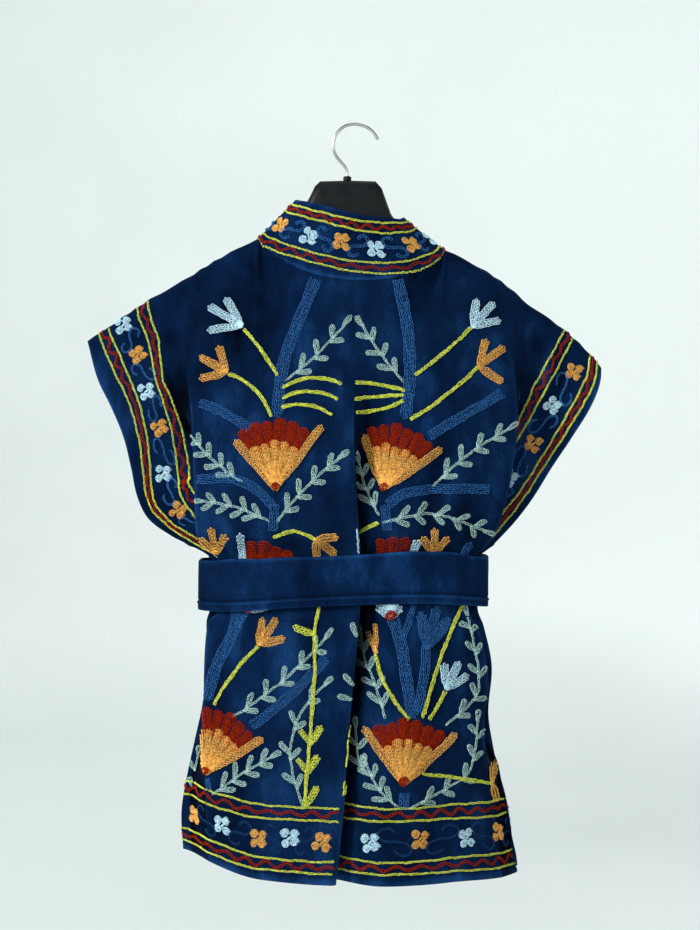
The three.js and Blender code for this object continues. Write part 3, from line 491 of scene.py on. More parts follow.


def velvet(name, lift):
    """Navy velvet: brushed in upright streaks, with crushed patches, painted shade in folds and painted
    highlights on edges, ridges and seams, read from a number at each vertex.
    """
    material, tree, shader = nodes_of(name)
    crushed = sum_of(tree, noise(tree, (38, 38, 17), 5, 0.6), 1, noise(tree, (12, 12, 9), 3, 0.5))
    crushed_and_painted_light = sum_of(tree, attribute(tree, "nap"), PAINTED_LIGHT_AND_TUFT_SHARE, sum_of(tree, crushed, 0.5))
    tufted_and_painted_light = sum_of(tree, noise(tree, (420, 420, 260), 3, 0.65), PAINTED_LIGHT_AND_TUFT_SHARE, crushed_and_painted_light)
    tones = [(place, [lift * c for c in colour]) for place, colour in CRUSH_AND_PAINTED_LIGHT_TONES]
    pile = noise(tree, (1500, 1500, 900), 2, 0.6)
    # The darkest stop is reached mostly where shade is painted into the folds and the pleat's gap
    feed(tree, shader, {
        "Base Color": ramp(tree, tufted_and_painted_light, (0.32, (0.0002, 0.0008, 0.0025)), *tones),
        "Normal": bump(tree, pile, 0.0004, 0.35, Normal=bump(tree, crushed, 0.004, 0.3)),
        "Roughness": 0.88, "Specular IOR Level": 0.03, "Specular Tint": (0.2, 0.5, 1, 1),
        "Sheen Weight": 0.16, "Sheen Roughness": 0.28, "Sheen Tint": (0.06, 0.22, 0.56, 1)})
    return material


def thread(name, dark, light):
    """Matt embroidery thread, darker where a fold shuts it off from the light."""
    material, tree, shader = nodes_of(name)
    dyed = ramp(tree, noise(tree, (360, 360, 360), 3, 0.7), (0.36, dark), (0.64, light))
    shading = {0: attribute(tree, "shade"), 6: dyed, 7: (0.10, 0.12, 0.13, 1)}      # factor and two colours
    shaded = node(tree, "ShaderNodeMix", shading, data_type="RGBA", blend_type="MULTIPLY")
    feed(tree, shader, {
        "Base Color": shaded.outputs[2],
        "Normal": bump(tree, noise(tree, (2600, 2600, 2600), 2, 0.5), 0.0002, 0.4),
        "Roughness": 0.72, "Specular IOR Level": 0.05})
    return material


def hard(name, dark, light, rough, metal, grain):
    """Moulded plastic or drawn wire."""
    material, tree, shader = nodes_of(name)
    cloudy = noise(tree, (60, 60, 60), 3, 0.6)
    feed(tree, shader, {
        "Base Color": ramp(tree, cloudy, (0.35, dark), (0.65, light)),
        "Roughness": ramp(tree, cloudy, (0.3, (rough * 0.85,) * 3), (0.7, (rough * 1.2,) * 3)),
        "Normal": bump(tree, noise(tree, (900, 900, 900), 3, 0.6), 0.0002, grain),
        "Metallic": metal, "Specular IOR Level": 0.5 if metal else 0.16})
    return material


LOOKS = {
    "velvet": velvet("velvet", 1.0),
    "velvet_band": velvet("velvet_band", 1.12),
    "hanger_plastic": hard("hanger_plastic", (0.002, 0.0032, 0.004), (0.005, 0.007, 0.0085), 0.5, 0, 0.15),
    "hook_wire": hard("hook_wire", (0.42, 0.42, 0.42), (0.58, 0.58, 0.57), 0.24, 1, 0.05),
    "thread_yellow": thread("thread_yellow", (0.40, 0.44, 0.035), (0.86, 0.92, 0.15)),
    "thread_red": thread("thread_red", (0.20, 0.010, 0.0003), (0.40, 0.027, 0.0008)),
    "thread_orange": thread("thread_orange", (0.55, 0.25, 0.05), (0.96, 0.54, 0.14)),
    "thread_pale_blue": thread("thread_pale_blue", (0.38, 0.58, 0.76), (0.70, 0.96, 1.0)),
    "thread_sage": thread("thread_sage", (0.20, 0.33, 0.31), (0.52, 0.74, 0.70)),
    "thread_navy": thread("thread_navy", (0.006, 0.028, 0.095), (0.012, 0.052, 0.165)),
    "thread_denim": thread("thread_denim", (0.013, 0.060, 0.19), (0.040, 0.165, 0.43))}

# ---- The jacket's back
# Creases: soft ridges (height > 0) and troughs along shallow arcs
CREASE = "x z to_x to_z bow height width"
BACK_CREASES = table(CREASE, [
    (110, -325, 80, -470, -0.03, -5.0, 13), (122, -330, 96, -470, -0.03, 2.6, 11),
    (208, -228, 186, -305, 0.05, -5.5, 9), (219, -232, 200, -300, 0.05, 4.0, 8),
    (236, -262, 214, -330, 0.05, -3.0, 8), (-206, -222, -186, -300, -0.05, -3.0, 11),
    (-128, -196, -150, -300, 0.04, -1.8, 13), (-60, -192, -52, -300, 0.03, 1.6, 13),
    (1, -196, 1, -330, 0, -3.0, 8), (12, -210, 14, -330, 0, 1.8, 9), (-14, -210, -12, -330, 0, 2.4, 9),
    (62, -200, 74, -320, 0.03, 1.5, 14), (150, -205, 158, -330, 0, 1.6, 12),
    (-140, -425, -138, -482, 0, 1.8, 7), (-118, -440, -120, -484, 0, -1.8, 6),
    (-96, -430, -97, -482, 0, 1.5, 7), (-62, -420, -66, -484, 0, -1.8, 7),
    (-40, -436, -42, -484, 0, 1.5, 6), (-22, -440, -24, -484, 0, -1.4, 5), (44, -440, 44, -484, 0, 1.4, 6),
    (60, -446, 58, -484, 0, -1.4, 5), (118, -440, 112, -484, 0, 1.6, 7),
    (-146, -534, -156, -640, 0.03, -2.6, 9), (-126, -534, -128, -600, 0, 2.0, 9),
    (-104, -534, -100, -585, 0, -2.0, 7), (-70, -534, -74, -640, 0, 2.0, 10),
    (-48, -534, -44, -600, 0, -1.8, 7), (-26, -534, -28, -610, 0, 1.6, 7), (46, -534, 48, -590, 0, -1.8, 7),
    (66, -534, 72, -640, 0, 1.8, 9), (88, -534, 92, -585, 0, -2.0, 7),
    (112, -534, 126, -650, 0.04, 2.4, 10), (128, -560, 134, -650, 0, -3.6, 9),
    (147, -636, 126, -700, 0.06, -4.5, 9), (150, -650, 134, -712, 0.05, 3.4, 8),
    (-86, -690, -92, -812, 0, 2.2, 18), (-128, -700, -132, -812, 0, -2.6, 14),
    (92, -690, 96, -818, 0, -2.4, 16), (60, -640, 62, -818, 0, 2.0, 18),
    (140, -720, 150, -815, 0, 2.0, 12)])


def crease_height(points, rows):
    """How far these creases lift a cloth at each point."""
    x, z = points[..., 0], points[..., 2]
    total = np.zeros(x.shape)
    for x0, z0, x1, z1, bow, height, width in zip(*rows.values()):
        length = math.hypot(x1 - x0, z1 - z0)
        ux, uz = (x1 - x0) / length, (z1 - z0) / length
        along = ((x - x0) * ux + (z - z0) * uz) / length
        aside = (z - z0) * ux - (x - x0) * uz - bow * length * 4 * along * (1 - along)
        total += height * ease(along / 0.3) * ease((1 - along) / 0.3) * hump(aside, 0, width)
    return total


def sway(points, depth):
    """A slow unevenness, so that no cloth hangs quite smooth."""
    x, z = points[..., 0], points[..., 2]
    slow = np.sin(x / 33 + z / 71 + 0.7) * np.sin(z / 47 - x / 90)
    return depth * (slow + 0.5 * np.sin(x / 17 + 2.1) * np.sin(z / 26))


def seam_bumps(points, w, on_shoulder):
    """The small puckers along a shoulder seam."""
    x = points[..., 0]
    return 1.1 * (0.5 + 0.5 * np.sin(x / 3.6 + 2 * np.sin(x / 13))) * hump(w, 0, 0.02) * on_shoulder


def crease_painted_light(height):
    """Painted highlight over a ridge and painted shade in a trough."""
    return np.clip(height / 4.5, -0.6, 0.8)


def edge_painted_highlight(s, w):
    """A painted highlight along the hem, w = 3, and along a sleeve's opening, s = -1 or 1."""
    return ease((w - 2.972) / 0.02) + 0.8 * ease((np.abs(s) - 0.985) / 0.012) * (w < 2)


def shut(s, low, high, beside):
    """1 between two columns of a fold, falling to 0 beside them."""
    return 1 - ease(np.maximum(np.maximum(low - s, s - high), 0) / beside)


def lip(s, place):
    """1 along a fold's outer edge, where a highlight is painted."""
    return hump(s, place, 0.011)


back = Cloth(
    back_face,
    steps((-1, 22), (LEFT_OUTER, 26), (LEFT_INNER, 14), (-NECK_SHARE, 24), (PLEAT_START, 28),
          (PLEAT_END, 18), (NECK_SHARE, 16), (RIGHT_INNER, 26), (RIGHT_OUTER, 20), (1, 0)),
    steps((0, 4), (0.012, 4), (0.05, 5), (0.13, 7), (0.3, 20), (1, 46), (2, 86), (3, 0)), False)
s, w = back.columns[None, :], back.rows[:, None]
in_folds = np.maximum.reduce([shut(s, *ends, 0.05) for ends in zip(STOPS[::2], STOPS[1::2])])
free_of_folds = 1 - in_folds * ease((w - 0.35) / 0.6)
creased = crease_height(back.points, BACK_CREASES) * free_of_folds
off_edges = ease(w / 0.12) * ease((1 - np.abs(s)) / 0.06)
back.swell((creased + sway(back.points, 1.1)) * free_of_folds * off_edges)
back.swell(seam_bumps(back.points, w, np.abs(s) > NECK_SHARE))

NECK_BLEND = 0.13       # rows over which the wall turns square to the collar
inward = back.normals.copy()
in_neck = np.abs(back.columns) <= NECK_SHARE
towards_collar = collar_normal(neck_station(back.columns[in_neck]))
for j in np.flatnonzero(back.rows < NECK_BLEND):
    inward[j, in_neck] = unit(mix(towards_collar, back.normals[j, in_neck], back.rows[j] / NECK_BLEND))
inward[0, ~in_neck] = shoulder_normal(back.points[0, ~in_neck, 0])
for column in (0, -1):
    inward[:, column] = end_normal(back.points[:, column])

x, z = back.points[..., 0], back.points[..., 2]
in_pleat, below_yoke = ease((w - 0.9) / 0.5), ease((w - 0.7) / 0.5)
under_belt = ease((-455 - z) / 60)
# Painted shade in the folds: darkest in the pleat below the belt, lighter in the two side folds
fold_painted_shade = np.maximum(
    (0.3 + under_belt) * shut(s, PLEAT_START + 0.062, PLEAT_END + 0.03, 0.022) * in_pleat,
    0.6 * below_yoke * np.maximum(shut(s, LEFT_OUTER - 0.01, LEFT_INNER - 0.055, 0.025),
                                  shut(s, RIGHT_INNER + 0.055, RIGHT_OUTER + 0.01, 0.025)))
# Painted highlights along the outer edges of the pleat and the side folds
lip_painted_highlight = 0.9 * lip(s, PLEAT_START + 0.026) * in_pleat + 0.7 * below_yoke * (
    lip(s, LEFT_INNER - 0.025) + lip(s, RIGHT_INNER + 0.025))
# A painted highlight beside the pleat's edge, a painted shadow in the pleat's gap, and painted shade on both
# shoulders
beside_pleat_painted_highlight = hump(s, PLEAT_START - 0.02, 0.05) * in_pleat
pleat_painted_shadow = pleat_shade(x, z) * (s > PLEAT_START + 0.06) * in_pleat
left_shoulder_painted_shade = hump(x, -150, 60) * hump(z, -190, 55)
right_shoulder_painted_shade = hump(x, 110, 60) * hump(z, -200, 45)
back_shell = piece("back_velvet", "back", back.shell(inward * CLOTH), "velvet", 50)
# All of these go on the back as painted light and shade, with painted highlights over ridges, the hem and
# the sleeve openings
mark(back_shell, "nap", crease_painted_light(creased) + edge_painted_highlight(s, w) - 1.9 * fold_painted_shade + lip_painted_highlight + 0.4 * beside_pleat_painted_highlight
     - 1.0 * left_shoulder_painted_shade - 0.4 * right_shoulder_painted_shade - 2.6 * pleat_painted_shadow)

# ---- The two fronts
FRONT_CREASES = table(CREASE, [
    (-196, -216, -176, -320, 0.05, -4.0, 10), (-150, -200, -150, -330, 0.03, 2.4, 12),
    (-120, -300, -128, -480, 0.03, -2.6, 12), (-92, -400, -96, -482, 0, 2.0, 8),
    (-66, -420, -64, -482, 0, -1.6, 7), (-140, -420, -146, -482, 0, 1.8, 8),
    (-128, -534, -134, -680, 0.03, 2.6, 12), (-98, -534, -98, -610, 0, -2.0, 8),
    (-70, -534, -76, -700, 0, 2.2, 11), (-150, -560, -166, -760, 0.02, -2.6, 12),
    (-110, -690, -114, -812, 0, -2.0, 15), (205, -232, 184, -320, 0.05, -4.0, 10),
    (148, -206, 152, -330, 0.03, 2.4, 12), (118, -300, 104, -480, 0.03, -2.6, 12),
    (82, -400, 80, -482, 0, 2.0, 8), (54, -430, 52, -482, 0, -1.6, 7), (128, -420, 122, -482, 0, 1.8, 8),
    (112, -534, 124, -690, 0.03, 2.6, 12), (84, -534, 84, -610, 0, -2.0, 8),
    (56, -534, 58, -700, 0, 2.2, 11), (138, -590, 150, -770, 0.02, -2.6, 12),
    (92, -690, 94, -812, 0, -2.0, 15)])
fronts = {}
for name, side in SIDE.items():
    cloth = Cloth(
        partial(panel, partial(front_level, name), partial(front_yoke, name)),
        steps((0, 8), (0.1, 26), (0.8, 14), (1, 0)),
        steps((0, 4), (0.012, 4), (0.05, 5), (0.13, 6), (0.3, 18), (1, 40), (2, 74), (3, 0)), side < 0)
    s, w = cloth.columns[None, :], cloth.rows[:, None]
    kept = ease(w / 0.12) * ease(s / 0.08) * ease((1 - s) / 0.12)
    creased = crease_height(cloth.points, FRONT_CREASES) * kept
    cloth.swell(creased + sway(cloth.points, 1.0) * kept)
    cloth.swell(seam_bumps(cloth.points, w, s < 0.97))
    inward = cloth.normals.copy()
    inward[0] = shoulder_normal(cloth.points[0, :, 0])
    inward[:, -1] = collar_normal(collar_station(name, cloth.points[:, -1, 2]))
    inward[:, 0] = end_normal(cloth.points[:, 0])
    obj = piece(f"front_{name}_velvet", f"front_{name}", cloth.shell(inward * CLOTH), "velvet", 50)
    # Painted highlights over ridges and along the hem and the sleeve opening, painted shade in troughs
    mark(obj, "nap", crease_painted_light(creased) + edge_painted_highlight(1 - s, w))
    fronts[name] = (cloth, obj)

# ---- The collar band, doubled velvet with a rounded free edge and a sunk seam where the panels join it
ROLL_START = 0.955      # how far out the free edge starts to round off
collar = Cloth(
    collar_face, steps((0, 110), (7, 60), (NECK["left"], 150), (NECK["right"], 60), (17, 110), (24, 0)),
    np.array([0, 0.012, 0.03, 0.06, 0.1, 0.16, 0.24, 0.32, 0.4, 0.48, 0.56, 0.64, 0.72, 0.8, 0.87, 0.92,
              ROLL_START, 0.98, 1]), True)
s, w = collar.columns[None, :], collar.rows[:, None]
ripple = 0.8 * np.sin(s * 2.3 + 3 * w) * np.sin(s * 0.9 + 1) * ease(w / 0.2)
ridges = 0.9 * hump(w, 0.045, 0.03) + 0.7 * hump(w, 0.95, 0.05)
rounded = 1 - np.sqrt(1 - np.clip((w - ROLL_START) / (1 - ROLL_START), 0, 1) ** 2)
collar.swell(ripple + ridges + (-1.7 * rounded - 0.8 * (1 - ease(w / 0.02))))
inward = unit(mix(collar_normal(collar.columns)[None], collar.normals, ease(w / 0.3)[..., None]))
wall = (BAND_WALL - 3.4 * rounded)[..., None]
collar_shell = piece("collar_velvet", "collar_band", collar.shell(inward * wall), "velvet_band", 60)
# Painted highlights along the collar's seam edge and its free edge
mark(collar_shell, "nap", 0.9 * hump(w, 0.02, 0.03) + 0.7 * hump(w, 0.98, 0.03) + 0 * s)

# ---- Belt, knot and hanging ends
BELT = {"x": -12, "y": -8.2, "half_width": 161, "half_depth": 54.9, "square": 2.8, "width": 54}
BELT_LEVEL = table("x z", [(-173, -513), (-60, -507), (30, -503), (90, -502), (149, -509)])


def powered(value, power):
    return np.sign(value) * np.abs(value) ** power


def belt_plan(angle, inset):
    """Places round the belt, x and y, on a rounded rectangle, this far in from its outside."""
    return (BELT["x"] + (BELT["half_width"] - inset) * powered(np.cos(angle), 2 / BELT["square"]),
            BELT["y"] + (BELT["half_depth"] - inset) * powered(np.sin(angle), 2 / BELT["square"]))


# The section, from the outside's top round to the inside's: how far in, and height over half the width. It
# is finest beside the sewn ridge near the lower edge.
FOOT_BEND = [(0.35, -1.02), (1.3, -1.035), (BAND_WALL - 1.3, -1.035), (BAND_WALL - 0.35, -1.02)]
section = [(0, height) for stretch in ((1, -0.5, 11), (-0.55, -0.85, 11), (-0.9, -1, 3))
           for height in np.linspace(*stretch)]
section += FOOT_BEND + [(BAND_WALL, height) for height in np.linspace(-1, 1, 11)]
section += [(way_in, -height) for way_in, height in FOOT_BEND[::-1]]
inset, level = np.array(section).T[:, None]
turn = 2 * math.pi * (np.arange(240)[:, None] + 0.5) / 240
on_outside = inset < 1
seam_ridge = 1.1 * hump(level, -0.72, 0.045) - 0.7 * hump(level, -0.63, 0.05)
soft = 0.7 * np.sin(turn * 9 + 1.2 * level) * np.sin(turn * 4 + 0.6) + 0.35 * np.sin(turn * 23 + 2 * level)
shift = (seam_ridge + np.clip(soft, -0.2, 1) + 0.5 * (1 - level ** 2)) * on_outside
height = (read(BELT_LEVEL, "z", belt_plan(turn, 0)[0]) + level * BELT["width"] / 2
          + 0.7 * np.sin(turn * 5 + 0.4) * np.sign(level) + 0.5 * np.sin(turn * 13) * (level > 0))
belt_points = np.stack([*belt_plan(turn, inset - shift), height], -1)
belt_quads = lattice(*height.shape, ring_rows=True, ring_columns=True, flip=True)
belt_shell = piece("belt_velvet", "belt", (belt_points.reshape(-1, 3), belt_quads), "velvet_band", 60)
# Painted highlight over the sewn ridge and painted shade in the dip above it, then painted highlights along
# both edges
belt_seam_painted_light = 0.75 * hump(level, -0.72, 0.05) - 0.5 * hump(level, -0.60, 0.06)
mark(belt_shell, "nap", (belt_seam_painted_light + 0.8 * (level > 0.97) + 0.6 * (level < -0.97)) * on_outside + 0 * turn)

KNOT = {"x": BELT["x"], "half_width": 25, "half_depth": 13, "half_height": 30}
KNOT["y"] = BELT["y"] + BELT["half_depth"] + SEAM + KNOT["half_depth"]
KNOT["z"] = float(read(BELT_LEVEL, "z", KNOT["x"]))
turn, rise = 2 * math.pi * np.arange(96)[:, None] / 96, np.linspace(-0.997, 0.997, 49)[None, :]
level = np.sin(rise * math.pi / 2)
rim = np.sqrt(1 - level ** 2)
c, s = np.cos(turn), np.sin(turn)
lean = c * rim * 0.55 + level * 0.95
wrap = 1 - 0.17 * hump(lean, 0.34, 0.085) - 0.17 * hump(lean, -0.34, 0.085)
wrap = wrap - 0.05 * np.sin(lean * 19 + 1.5) * hump(lean, 0, 0.3) - 0.03 * np.sin(c * 14 + level * 3) * rim
girth = rim * np.minimum(wrap * (np.abs(c) ** 4 + np.abs(s) ** 4) ** -0.16, 1.04)
knot_points = np.stack([
    KNOT["x"] + KNOT["half_width"] * c * girth, KNOT["y"] + KNOT["half_depth"] * s * girth,
    KNOT["z"] + KNOT["half_height"] * level * np.minimum(wrap + 0.06, 1)], -1)
knot_quads = lattice(*girth.shape, ring_rows=True)
knot_shell = piece("belt_knot_velvet", "belt_knot", (knot_points.reshape(-1, 3), knot_quads), "velvet_band")
# Painted shade in the grooves between the wraps, on a lighter tone, with a ripple across the wraps
mark(knot_shell, "nap", 0.9 - 9 * (1 - wrap) + 0.5 * np.sin(lean * 11 + 1))

END_TOP_WIDTH, END_WIDTH, KNOT_SPREAD = 20, 50, 1.5
END_LOWEST, END_SWAY = {"left": -762, "right": -738}, {"left": -32, "right": 26}


def end_face(name, s, w):
    """A hanging end: s from -1 to 1 across it, w from 0 at the knot to 1 at its foot."""
    half = mix(END_TOP_WIDTH, END_WIDTH, ease(w * 2.4)) / 2
    middle = KNOT["x"] + SIDE[name] * (KNOT_SPREAD + END_TOP_WIDTH / 2) + END_SWAY[name] * ease(w * 1.6)
    x = middle + s * half
    off = np.clip((x - KNOT["x"]) / (KNOT["half_width"] + 4 * SEAM), -0.95, 0.95)
    top = KNOT["z"] - (KNOT["half_height"] + 4 * SEAM) * np.sqrt(1 - off ** 2)
    y = mix(KNOT["y"] + BAND_WALL / 2, KNOT["y"] - 7, ease(w * 3)) + 2.5 * np.sin(w * 7 + SIDE[name]) * w
    gather = 1.5 * np.cos(s * 8) * (1 - ease(w / 0.3)) + 0.9 * np.sin(s * 3 + w * 9) * ease(w / 0.3)
    sewn = 0.6 * hump(np.abs(s), 0.9, 0.05)
    return np.stack([x, y + gather + sewn, mix(top, END_LOWEST[name], w)], -1)


for name in SIDE:
    cloth = Cloth(partial(end_face, name), np.linspace(-1, 1, 29), np.linspace(0, 1, 90), True)
    s, w = cloth.columns[None, :], cloth.rows[:, None]
    edge = np.clip((np.abs(s) - 0.93) / 0.07, 0, 1)[..., None]
    cloth.points = cloth.points - cloth.normals * 1.2 * edge ** 2
    shell = cloth.shell(cloth.normals * (BAND_WALL - 2.6 * edge ** 2))
    obj = piece(f"belt_end_{name}_velvet", f"belt_end_{name}", shell, "velvet_band", 60)
    # Painted highlights along the sewn edges and the foot, and painted light and shade over the gathers
    # under the knot
    sewn = hump(np.abs(s), 0.86, 0.05) + ease((np.abs(s) - 0.93) / 0.05) + ease((w - 0.975) / 0.015)
    mark(obj, "nap", 0.35 + 0.8 * sewn + 0.9 * np.cos(s * 8) * (1 - ease(w / 0.35)))

# ---- The hanger, in finer steps than its solid
HANGER = table("x top height half", [
    (-214, -193, 12, 7), (-208, -188.4, 18, 9.6), (-191, -177.8, 22, 10.4), (-152, -154, 24, 10.4),
    (-118, -137.4, 25, 9.4), (-102, -135, 25, 8), (-85, -121, 28, 8), (-64, -102, 36, 8.4),
    (-51, -82.5, 44, 11.4), (-44, -68, 54, 11.6), (-38, -62.4, 58, 12), (-7, -61.6, 58, 12.4),
    (24, -62.4, 60, 12), (31, -70, 56, 11.6), (41, -98, 36, 11.2), (52, -116, 30, 8.4), (78, -136, 26, 8),
    (98, -148, 24, 8), (112, -150, 24, 9), (141, -164.2, 23, 10.4), (168, -182.4, 22, 10),
    (192, -203.6, 18, 8.6), (198, -209, 12, 6.4)])
HANGER_SQUARE = 2.3     # its section is a rounded rectangle
WIRE_RADIUS, HOOK_RADIUS, HOOK_X, HOOK_STEM_X, HUB_TOP = 1.8, 23.8, 0.5, -7.6, -61.6
FERRULE_RADIUS, FERRULE_HEIGHT = 4.6, 4.6
HOOK_TIP, HOOK_LEAVES = 14, 215     # degrees round the crook


def circle(count):
    angle = 2 * math.pi * np.arange(count) / count
    return np.cos(angle), np.sin(angle)


def tube(rings):
    """Vertices and faces through closed rings, capped at both ends."""
    count, sides = rings.shape[:2]
    caps = [list(range(sides))[::-1], list(range((count - 1) * sides, count * sides))]
    return rings.reshape(-1, 3), lattice(count, sides, ring_columns=True, flip=True).tolist() + caps


places = np.unique(np.concatenate([np.linspace(HANGER["x"][0], HANGER["x"][-1], 150), HANGER["x"]]))
top, height, half = (
    np.interp(places, HANGER["x"], HANGER[name])[:, None] for name in ("top", "height", "half"))
angle = 2 * math.pi * np.arange(44) / 44 + math.pi / 2
section_y, section_z = powered(np.cos(angle), 2 / HANGER_SQUARE), powered(np.sin(angle), 2 / HANGER_SQUARE)
hanger_rings = np.stack(np.broadcast_arrays(
    places[:, None], half * section_y, top - height / 2 * (1 - section_z)), -1)
piece("hanger_plastic_body", "hanger_body", tube(hanger_rings), "hanger_plastic", 40)

degrees = np.linspace(HOOK_TIP, HOOK_LEAVES, 60)
radius = HOOK_RADIUS + 3.2 * np.maximum(0, (90 - degrees) / 76) ** 2      # the tip opens a little
angle = np.radians(degrees)
crook = np.stack([
    HOOK_X + radius * np.cos(angle), 0 * angle, WIRE_RADIUS - HOOK_RADIUS + radius * np.sin(angle)], -1)
leave = crook[-1] + 12 * unit(crook[-1] - crook[-2])
stem_guide = np.array([HOOK_STEM_X, 0, -45])
stem_foot = np.array([HOOK_STEM_X, 0, HUB_TOP + SEAM + FERRULE_HEIGHT + SEAM])
t = np.linspace(0, 1, 16)[1:, None]
shank = (crook[-1] * (1 - t) ** 3 + leave * 3 * t * (1 - t) ** 2 + stem_guide * 3 * t * t * (1 - t)
         + stem_foot * t ** 3)
line = np.concatenate([crook, shank])
aside = np.array([0, 1, 0])
outward = unit(np.cross(unit(np.gradient(line, axis=0)), aside))
c, s = (v[None, :, None] for v in circle(16))
hook_rings = line[:, None] + WIRE_RADIUS * (c * outward[:, None] + s * aside)
piece("hook_wire_round", "hanger_hook", tube(hook_rings), "hook_wire", 50)

# The ferrule's profile: heights, and shares of its radius there
profile = [(0, 0.6), (0.25, 1), (3.2, 1), (3.9, 0.9), (4.35, 0.72), (FERRULE_HEIGHT, 0.5)]
height, share = np.array(profile).T[..., None]
radius = FERRULE_RADIUS * share
c, s = circle(32)
ferrule_rings = np.stack([HOOK_STEM_X + radius * c, radius * s, HUB_TOP + SEAM + height + 0 * c], -1)
piece("hanger_ferrule_cap", "hanger_ferrule", tube(ferrule_rings), "hanger_plastic", 40)

# ---- Chain stitch: rows of thread loops, each loop caught in the one before
ROW = 3.7           # width of a row
LINK = 4.4          # a loop's step
SPACING = 3.3       # between rows side by side
THREAD_RADIUS = 0.55
LOOP_SIDES = 6      # straight stretches in one loop
LEAF_HALF = 1.5     # half the width of a leaf's foot
WANDER, HAND = 0.3, 0.16    # how far a row strays slowly, and a single loop by chance
BREAK = 3.2         # a row breaks where the cloth jumps further than this many steps
RAY_START = 400     # well outside the jacket
dice = np.random.default_rng(7)
stitches = {}       # (cloth, thread): loops as arrays of centre, direction, cloth's normal, step and width


def run_along(path):
    """How far along a path each of its points lies."""
    return np.concatenate([[0], np.cumsum(np.linalg.norm(np.diff(path, axis=0), axis=1))])


def dense(path, pitch):
    """Middles of equal steps along a path, and the step's length."""
    run = run_along(path)
    count = max(1, round(run[-1] / pitch))
    marks = (np.arange(count) + 0.5) / count * run[-1]
    return np.stack([np.interp(marks, run, column) for column in path.T], -1), run[-1] / count


class Seen:
    """Flat places on a cloth as seen squarely from behind (look = 1) or from in front (look = -1)."""

    def __init__(self, cloth, name, look, bend=None, between=(-2, 2)):
        self.cloth, self.name, self.look, self.bend, self.between = cloth, name, look, bend, between
        self.tree = BVHTree.FromPolygons(cloth.points.reshape(-1, 3).tolist(), cloth.quads().tolist())

    def within(self, low, high, bend=None):
        """The same cloth, but only its columns from low to high."""
        other = copy.copy(self)
        other.between, other.bend = (low, high), bend or self.bend
        return other

    def place(self, flat):
        """Points, normals and which of the flat places lie on the cloth."""
        points, normals = np.zeros((2, len(flat), 3))
        found = np.zeros(len(flat), bool)
        for k, (x, z) in enumerate(self.bend(flat) if self.bend else flat):
            start, way = Vector((x, -RAY_START * self.look, z)), Vector((0, self.look, 0))
            hit, normal, face, _ = self.tree.ray_cast(start, way)
            if hit is None:
                continue
            column = self.cloth.columns[face % (len(self.cloth.columns) - 1)]
            points[k], normals[k] = hit, normal
            found[k] = self.between[0] <= column <= self.between[1]
        return points, normals, found


class Along:
    """Flat places beside an edge that a cloth's rows run along: a along the edge, b in from it."""
    bend = None

    def __init__(self, cloth, name, row, first, last, depth_rows, like=None):
        self.cloth, self.name, self.depth_rows = cloth, name, depth_rows
        line, _ = cloth.at(cloth.columns, np.full(len(cloth.columns), row))
        run = run_along(line)
        self.run = like.run if like else run - np.interp(0.5 * (first + last), cloth.columns, run)
        self.first, self.last = np.interp([first, last], cloth.columns, self.run)

    def place(self, flat):
        s = np.interp(flat[:, 0], self.run, self.cloth.columns)
        points, normals = self.cloth.at(s, self.depth_rows(s, flat[:, 1]))
        return points, normals, (flat[:, 0] >= self.first) & (flat[:, 0] <= self.last)


def row(chart, thread, path, width=ROW, pitch=LINK, lift=0.0):
    """One row of chain stitch along a flat path, lifted where it lies over others."""
    flat, step = dense(np.asarray(path, float), pitch)
    flat = flat + WANDER * np.sin(flat[:, ::-1] / 5.1 + flat[:1]) + dice.normal(0, HAND, flat.shape)
    points, normals, found = chart.place(flat)
    if found.sum() < 2:
        return
    points, normals = points[found], normals[found]
    jump = np.linalg.norm(np.diff(points, axis=0), axis=1)
    near = np.minimum(np.append(jump, jump[-1]), np.insert(jump, 0, jump[0])) < BREAK * step
    ahead = np.gradient(points, axis=0)[near]
    points, normals = points[near], normals[near]
    ahead = unit(ahead - normals * np.sum(ahead * normals, -1, keepdims=True))
    sizes = np.tile([step, width], (len(points), 1))
    loops = np.concatenate([points + normals * lift, ahead, normals, sizes], -1)
    stitches.setdefault((chart.name, thread), []).append(loops)


def turned(path, x, z, heading):
    """A path drawn from the origin along the first axis, turned to a heading and moved."""
    c, s = math.cos(math.radians(heading)), math.sin(math.radians(heading))
    along, aside = np.asarray(path, float).T
    return np.stack([x + along * c - aside * s, z + along * s + aside * c], -1)


def curve(*stops):
    """A smooth path through the stops."""
    place = np.linspace(0, len(stops) - 1, 14 * (len(stops) - 1) + 1)
    return np.stack([station(values, place) for values in np.asarray(stops, float).T], -1)


def arc(x0, z0, x1, z1, bow=0.0):
    """A shallow arc between two places, bowed to its left by a share of its length."""
    t = np.linspace(0, 1, 24)[:, None]
    aside = np.array([z0 - z1, x1 - x0])
    return mix(np.array([x0, z0]), np.array([x1, z1]), t) + aside * bow * 4 * t * (1 - t)


def band(chart, thread, path, rows, spacing=SPACING, width=ROW, lift=0.0):
    """Several rows side by side along a path, the outer ones a little shorter."""
    ahead = unit(np.gradient(path, axis=0))
    aside = np.stack([-ahead[:, 1], ahead[:, 0]], -1)
    for k in range(rows):
        off = k - (rows - 1) / 2
        end = len(path) - (1 if rows > 2 and abs(off) > 1 else 0)
        row(chart, thread, (path + aside * off * spacing)[:end], width, lift=lift)


def bough(chart, path, rows=3):
    """A denim bough. Three rows lie wider apart than two or four."""
    band(chart, "denim", path, rows, 3.7 if rows == 3 else SPACING)


def stem(chart, path, lift=0.5):
    """A flower's yellow stem, two narrow rows."""
    band(chart, "yellow", path, 2, 1.7, 2.7, lift)


